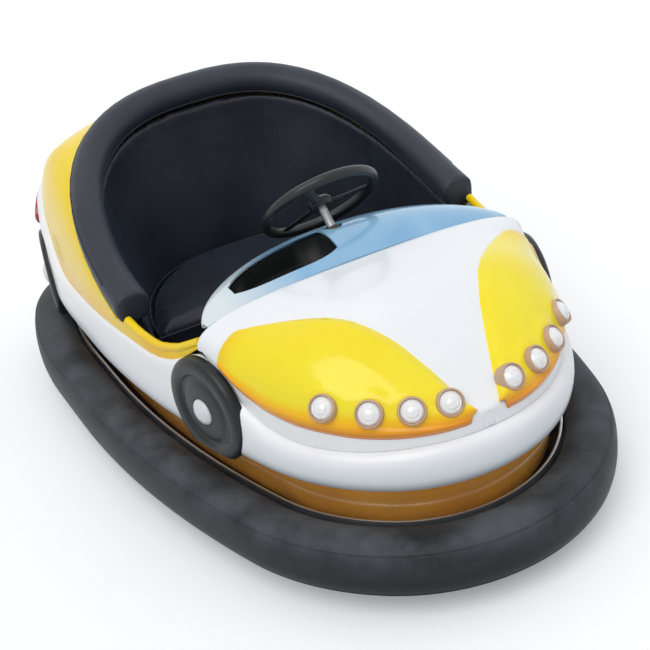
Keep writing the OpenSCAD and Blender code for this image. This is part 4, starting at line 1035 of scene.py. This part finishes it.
def cushion():
    """The bench before it swells: levels, each drawn in toward the middle."""
    outline = cushion_outline(0)
    front_x = outline[0][0] - 4
    levels = [(1 - BENCH_T, 10), (10 - BENCH_T, 2), (-26, 0), (-10, 6), (-2, 22)]
    middle = (sum(p[0] for p in outline) / len(outline), 0)
    rows = []
    for z, pull in levels:
        row = []
        for x, y in outline:
            away = hypot(x - middle[0], y)
            row.append((min(x, front_x) + (middle[0] - x) * pull / away, y * (1 - pull / away), BENCH_Z + z))
        rows.append(row + [row[0]])
    return capped(laid("bench_cushion", rows))


bench = swell(cushion(), 9, pressure=4, voxel=6)
finish(bench, VINYL, "black_vinyl", "seat_cushion", angle=60)
welt_path = [(x + 1, y, BENCH_Z - 14) for x, y in cushion_outline(1)]
finish(tube("bench_welt", welt_path, WELT_R, closed=True, sides=8), ROLL, "black_vinyl")

# Cockpit floor and front
MAT_BOX = ((-68, -206, 90), (262, 206, 94))


def ribbed_mat():
    """The floor mat: a thin sheet with ribs that run along the car."""
    (x0, y0, z0), (x1, y1, _) = MAT_BOX
    middle, rib, pitch = (x0 + x1) / 2, 5, 11
    parts = [block((middle, (y0 + y1) / 2, z0 + 0.8), (x1 - x0, y1 - y0, 1.6))]
    for k in range(int((y1 - y0 - 8) / pitch)):
        parts.append(block((middle, y0 + 8 + k * pitch, z0 + 2.6), (x1 - x0 - 12, rib, 2.6)))
    return rounded(joined("ribbed_mat", parts), 0.7, 50, 1)


finish(ribbed_mat(), MAT, "floor_rubber", "floor_mat")

COLUMN = Matrix.Translation(Vector((500, 0, 350)) * MM) @ Matrix.Rotation(radians(-45), 4, "Y")
DASH_HALF_W, DASH_DEPTH, DASH_RISE, DASH_T = 380, 186, 42, 5
HOOD_REAR_W = 432                       # half width of the hood at its rear edge
TRAY_SIDE, TRAY_INNER, TRAY_FRONT_X = -290, -34, 372


def dash_rear(v):
    """Place along the car of the hump's edge over the cockpit."""
    return HOOD_REAR_X - DASH_DEPTH * sqrt(max(0, 1 - v * v))


def dash_row(v):
    """A line of the hump from the hood to the cockpit, at the share v of its half width."""
    y = v * DASH_HALF_W
    z, rise = hood_at(HOOD_REAR_X, y, HOOD_REAR_W) - SHELL - 1.5, DASH_RISE * (1 - v * v)
    return [(mix(HOOD_REAR_X - 4, dash_rear(v), t), y, z + rise * sin(radians(155 * mix(0.09, 1, t))))
            for t in (j / 18 for j in range(19))]


def tray_outline():
    """The hole for the tray, with rounded ends."""
    spots = [(mix(TRAY_SIDE, TRAY_INNER, k / 16), 16 * (abs(k / 8 - 1)) ** 4) for k in range(17)]
    rear = [(dash_rear(y / DASH_HALF_W) + 24 + bend, y) for y, bend in spots]
    return rear + [(TRAY_FRONT_X - bend, y) for y, bend in spots[::-1]]


def prism(name, outline, low, high):
    return capped(laid(name, [[(x, y, z) for x, y in outline] + [(*outline[0], z)] for z in (low, high)]))


column_hole = post(25, 420, 48)
column_hole.data.transform(COLUMN)
dash_rows = [dash_row(0.99 * sin(radians(k * 3.75))) for k in range(-24, 25)]
dash = laid("dash_top", dash_rows)
dash = rounded(walled(dash, DASH_T), 1.0, 50)
cut(dash, prism("tray_cutter", tray_outline(), 400, 700), column_hole)
finish(dash, COWL, "pale_cowl", "dash_cowl", angle=40)
rim_path = [row[-1] for row in dash_rows]
finish(tube("dash_bead", [(x + 2, y, z - 2.5) for x, y, z in rim_path], 6), COWL, "pale_cowl")
finish(own_copy("dash_tray", "tray_well"), TRAY, "black_plastic", "dash_tray", angle=30)
dress(BLACK, "dash_panel")
finish(rounded(own_copy("dash_button", "start_button"), 1.5, 40, 3), RED, "red_plastic", "dash_button")
finish(rounded(own_copy("pedal", "foot_pedal"), 1.0, 40), STEEL, "bright_steel", "pedal")
liners = rounded(subdivided(own_copy("cockpit_liner", "side_liners")), 0.8, 50)
finish(liners, LINER, "pale_liner", "cockpit_liner", angle=50)

# Steering wheel
WHEEL_R, GRIP_R = 146, 12
COLUMN_RUN = 397                        # from the column's foot up to the wheel
HUB_PROFILE = [(0, -13), (24, -13), (28, -9), (29, 2), (24, 8), (14, 11), (13, 12.5), (0, 13.5)]
SPOKE_HALF_T = 3.6
SPOKE_LINE = [(18, 17, -5), (38, 14.5, -6), (64, 11.5, -4), (94, 10.5, -1.5), (WHEEL_R - GRIP_R, 13, 0)]


def steering():
    """A ring, a hub and three spokes, each a run of ovals with their radius, half width and height."""
    bpy.ops.mesh.primitive_torus_add(major_segments=96, minor_segments=20, minor_radius=GRIP_R * MM,
                                     major_radius=(WHEEL_R - GRIP_R) * MM)
    parts = [bpy.context.object, turned("hub", HUB_PROFILE, 40)]
    for angle in (90, 210, 330):
        turns = [radians(k * 30) for k in range(12)]
        rows = [[(r, half_w * cos(t), z + SPOKE_HALF_T * sin(t)) for t in turns]
                for r, half_w, z in SPOKE_LINE]
        spoke = subdivided(loop_through("spoke", rows, False))
        spoke.data.transform(Matrix.Rotation(radians(angle), 4, "Z"))
        parts.append(spoke)
    wheel = joined("steering_ring", parts)
    wheel.data.transform(COLUMN @ Matrix.Translation((0, 0, COLUMN_RUN * MM)))
    return wheel


finish(steering(), GRIP, "grip_black", "steering_wheel", body="steering", angle=40)


# Lamps
def lamp_places():
    """Each lamp's frame, with Z pointing out of the wing, and whether it is on the mirrored side."""
    for mirror in (False, True):
        for place, bearing in LAMPS:
            frame_at = (Matrix.Translation(Vector(place) * MM) @ Matrix.Rotation(radians(bearing), 4, "Z")
                        @ Matrix.Rotation(radians(90 - LAMP_TILT), 4, "Y"))
            yield (MIRROR_Y @ frame_at if mirror else frame_at), mirror


def at_every_lamp(name, model):
    parts = [copy_of(model, place, mirror) for place, mirror in lamp_places()]
    bpy.data.objects.remove(model)
    return joined(name, parts)


BEZEL_PROFILE = [(0, -15), (LAMP_R - 3, -14), (LAMP_R - 1, -8), (LAMP_R, 5), (LAMP_R + 1.5, 7.5),
                 (LAMP_R + 3.5, 7), (LAMP_R + 5, 3.5), (LAMP_R + 5.6, -4), (LAMP_R + 5, -20), (0, -20)]
LENS_PROFILE = [(0, -6), (LAMP_R - 0.6, -6), (LAMP_R - 0.4, 2.5), (LAMP_R - 2, 5.5), (LAMP_R - 6, 9),
                (LAMP_R - 7, 8.6), (11, 13.2), (10, 12.6), (4, 14.8), (0, 15)]
bezels = at_every_lamp("lamp_bezels", turned("bezel", BEZEL_PROFILE, 40))
finish(bezels, BEZEL, "bezel_tan", "headlamp_bezels", angle=40)
lenses = at_every_lamp("lamp_lenses", turned("dome", LENS_PROFILE, 40))
finish(lenses, LAMP, "lamp_clear", "headlamp_lenses", angle=30)

# Tail lamps
TAIL_LAMP_Z, TAIL_LAMP_H = 436, 64
TAIL_LAMP_INNER = mix(REAR_TURN[1], 90, 1 / 5)      # heading of the lamps' inner ends


def tail_lamp(side):
    """A red lens round the tail's corner, widest at its inner end."""
    first, last = REAR_TURN
    span = [(*REAR_ARCS[2][:3], mix(-TAIL_LAMP_INNER, -last, k / 5)) for k in range(5)]
    span += [(*REAR_ARCS[1][:3], mix(-last, -first, k / 36)) for k in range(37)]
    outer, inner = [], []
    for k, station in enumerate(span):
        w = k / (len(span) - 1)
        half_h = TAIL_LAMP_H * sqrt(1 - w ** 2.2) * (0.94 + 0.06 * ease(w * 14)) + 1.5
        face = BELLY_INSET + tail_in(station)
        front, back = [], []
        for j in range(17):
            c = j / 8 - 1
            z = TAIL_LAMP_Z - 6 * w - half_h * c
            x, y = at(station, face - 10.6 + 6 * c ** 4 + 4 * (1 - ease(w * 12)))
            front.append((x, side * y, z))
            x, y = at(station, face - 0.5)
            back.append((x, side * y, z))
        outer.append(front)
        inner.append(back)
    return closed_between("tail_lamp", outer, inner)


finish(joined("tail_lights", [tail_lamp(1), tail_lamp(-1)]), TAIL, "lamp_red", "tail_lamps", angle=30)

# Dummy wheels: the rim's points are [distance in from the edge, height]
DISC_RIM = [(0, 0), (0, 15), (1.5, 19), (5, 23.5), (12, 26.5), (22, 27.6), (32, 27), (37, 24), (40, 21),
            (47, 20.6), (53, 23), (60, 25.4)]
DISC_PROFILE = [(0, 0)] + [(DUMMY_R - inward, z) for inward, z in DISC_RIM]
DISC_PROFILE += [(46, 26.4), (37, 27.6), (33, 28), (31, 26), (0, 26)]
CAP_PROFILE = [(0, 12), (10, 11.5), (20, 8.6), (27, 4.2), (29.6, 1.2), (30, 0.2), (30, -2), (0, -2)]


def at_every_disc(name, model, xs, lift=0.0, clip=False):
    parts = []
    for x in xs:
        for mirror in (False, True):
            place = on_side(x, POCKET_INSET) @ Matrix.Translation((0, 0, lift * MM))
            parts.append(copy_of(model, MIRROR_Y @ place if mirror else place, mirror))
    bpy.data.objects.remove(model)
    if clip:
        for part in parts:
            in_edit(part, (bpy.ops.mesh.bisect, {"plane_co": (0, 0, CLIP_Z * MM), "plane_no": (0, 0, 1),
                                                 "use_fill": True, "clear_inner": True}))
    return joined(name, parts)


for x, end in zip(DUMMIES, ("front", "rear")):
    discs = at_every_disc(f"{end}_discs", turned("disc", DISC_PROFILE, 96), [x], clip=end == "front")
    finish(discs, DISC, "dummy_black", f"dummy_wheels_{end}", angle=40)
covers = at_every_disc("hub_covers", turned("cap", CAP_PROFILE, 48), DUMMIES, lift=28)
finish(covers, CAP, "cap_white", "hub_caps", angle=40)

# Pole socket, tyres, motor
socket_block = rounded(own_copy("pole_socket", "socket_block"), 3, 50, 3)
finish(socket_block, SOCKET, "black_steel", "pole_socket", angle=40)


def grooved_tyre(name, radius, width, seat, grooves, place):
    """A tyre with round shoulders and grooves at the given distances from its middle."""
    c = width * 0.16
    profile = [(seat, -width / 2), (radius - c, -width / 2), (radius - c * 0.3, -width / 2 + c * 0.3)]
    for g in grooves:
        profile += [(radius, g - 2.6), (radius - 3.5, g - 1.6), (radius - 3.5, g + 1.6), (radius, g + 2.6)]
    profile += [(radius - c * 0.3, width / 2 - c * 0.3), (radius - c, width / 2), (seat, width / 2)]
    tyre = turned(name, profile + [profile[0]], 72)
    tyre.data.transform(Matrix.Translation(Vector(place) * MM) @ Matrix.Rotation(radians(-90), 4, "X"))
    return tyre


DRIVE_X, DRIVE_R, MOTOR_Z = 500, 100, 138
REAR_X, REAR_Y, REAR_R = -560, 318, 80
tread = grooved_tyre("drive_tread", DRIVE_R, 60, 70, (-17, 0, 17), (DRIVE_X, 0, DRIVE_R))
finish(tread, TYRE, "wheel_tyre", "drive_tyre", body="drive_wheel")
for side, word in ((1, "left"), (-1, "right")):
    tread = grooved_tyre(f"{word}_tread", REAR_R, 45, 54.4, (-10, 10), (REAR_X, side * REAR_Y, REAR_R))
    finish(tread, TYRE, "wheel_tyre", f"rear_tyre_{word}", body=f"rear_{word}_wheel")


def motor_fins():
    """The motor's case with nine cooling fins round it."""
    parts = [own_copy("drive_motor", "motor_case")]
    for k in range(9):
        z = 54 + k * 10
        ring = turned("fin", [(65, z), (71, z + 0.6), (71, z + 3.4), (65, z + 4), (65, z)], 64)
        ring.data.transform(Matrix.Translation(Vector((DRIVE_X, 0, MOTOR_Z)) * MM)
                            @ Matrix.Rotation(radians(-90), 4, "X"))
        parts.append(ring)
    return joined("finned_motor", parts)


finish(motor_fins(), MOTOR, "motor_grey", "drive_motor", body="drive_unit")

# Floor, light and world
SEEN_RAYS = ("Is Camera Ray", "Is Glossy Ray", "Is Transmission Ray")


def is_seen(look):
    """1 for the rays that show the background: camera, glossy and transmission rays."""
    camera, glossy, through = [look.node("ShaderNodeLightPath", output=ray) for ray in SEEN_RAYS]
    either = look.node("ShaderNodeMath", {"operation": "MAXIMUM"}, {0: glossy, 1: through})
    return look.node("ShaderNodeMath", {"operation": "MAXIMUM"}, {0: camera, 1: either})


def studio_floor():
    """A pale floor to the horizon that keeps the car's shadow."""
    clear_selection()
    bpy.ops.mesh.primitive_plane_add(size=400, location=(0, 0, 0))
    floor = bpy.context.object
    floor.name = "studio_floor"
    look = Finish("studio_floor")
    seen = is_seen(look)
    look.set(Base_Color=look.blend(seen, (0.50, 0.505, 0.51), (0.86, 0.865, 0.87)), Roughness=0.85,
             Emission_Color=look.blend(seen, (0.0, 0.0, 0.0), (0.20, 0.20, 0.20)), Emission_Strength=1.0,
             Specular_IOR_Level=0.2)
    floor.data.materials.append(look.material)


# Each sun has its name, where it shines from, strength, spread in degrees and colour
SUNS = (("key", (2.4, -2.6, 4.6), 1.42, 50, (1.0, 0.985, 0.96)),
        ("back", (-1.6, 3.2, 3.4), 0.62, 130, (0.95, 0.975, 1.0)))


def add_suns():
    """A soft key sun at the front right, and a weaker and wider one behind."""
    for name, toward, strength, spread, colour in SUNS:
        bpy.ops.object.light_add(type="SUN", location=toward)
        sun = bpy.context.object
        sun.name = name
        sun.data.energy, sun.data.angle, sun.data.color = strength, radians(spread), colour
        sun.rotation_euler = Vector(toward).to_track_quat("Z", "Y").to_euler()


def pale_world():
    """A dim pale world, which the rays that show the background see as near white."""
    world = bpy.data.worlds.new("pale_world")
    bpy.context.scene.world = world
    world.use_nodes = True
    tree = world.node_tree
    dim = tree.nodes["Background"]
    dim.inputs["Color"].default_value = (0.90, 0.94, 1.0, 1)
    dim.inputs["Strength"].default_value = 0.52
    white = tree.nodes.new("ShaderNodeBackground")
    white.inputs["Color"].default_value = (0.95, 0.955, 0.96, 1)
    path = tree.nodes.new("ShaderNodeLightPath")
    last = dim.outputs[0]
    for ray in SEEN_RAYS:
        pick = tree.nodes.new("ShaderNodeMixShader")
        tree.links.new(path.outputs[ray], pick.inputs[0])
        tree.links.new(last, pick.inputs[1])
        tree.links.new(white.outputs[0], pick.inputs[2])
        last = pick.outputs[0]
    tree.links.new(last, tree.nodes["World Output"].inputs["Surface"])


studio_floor()
add_suns()
pale_world()
bpy.context.scene.view_settings.view_transform = "Standard"
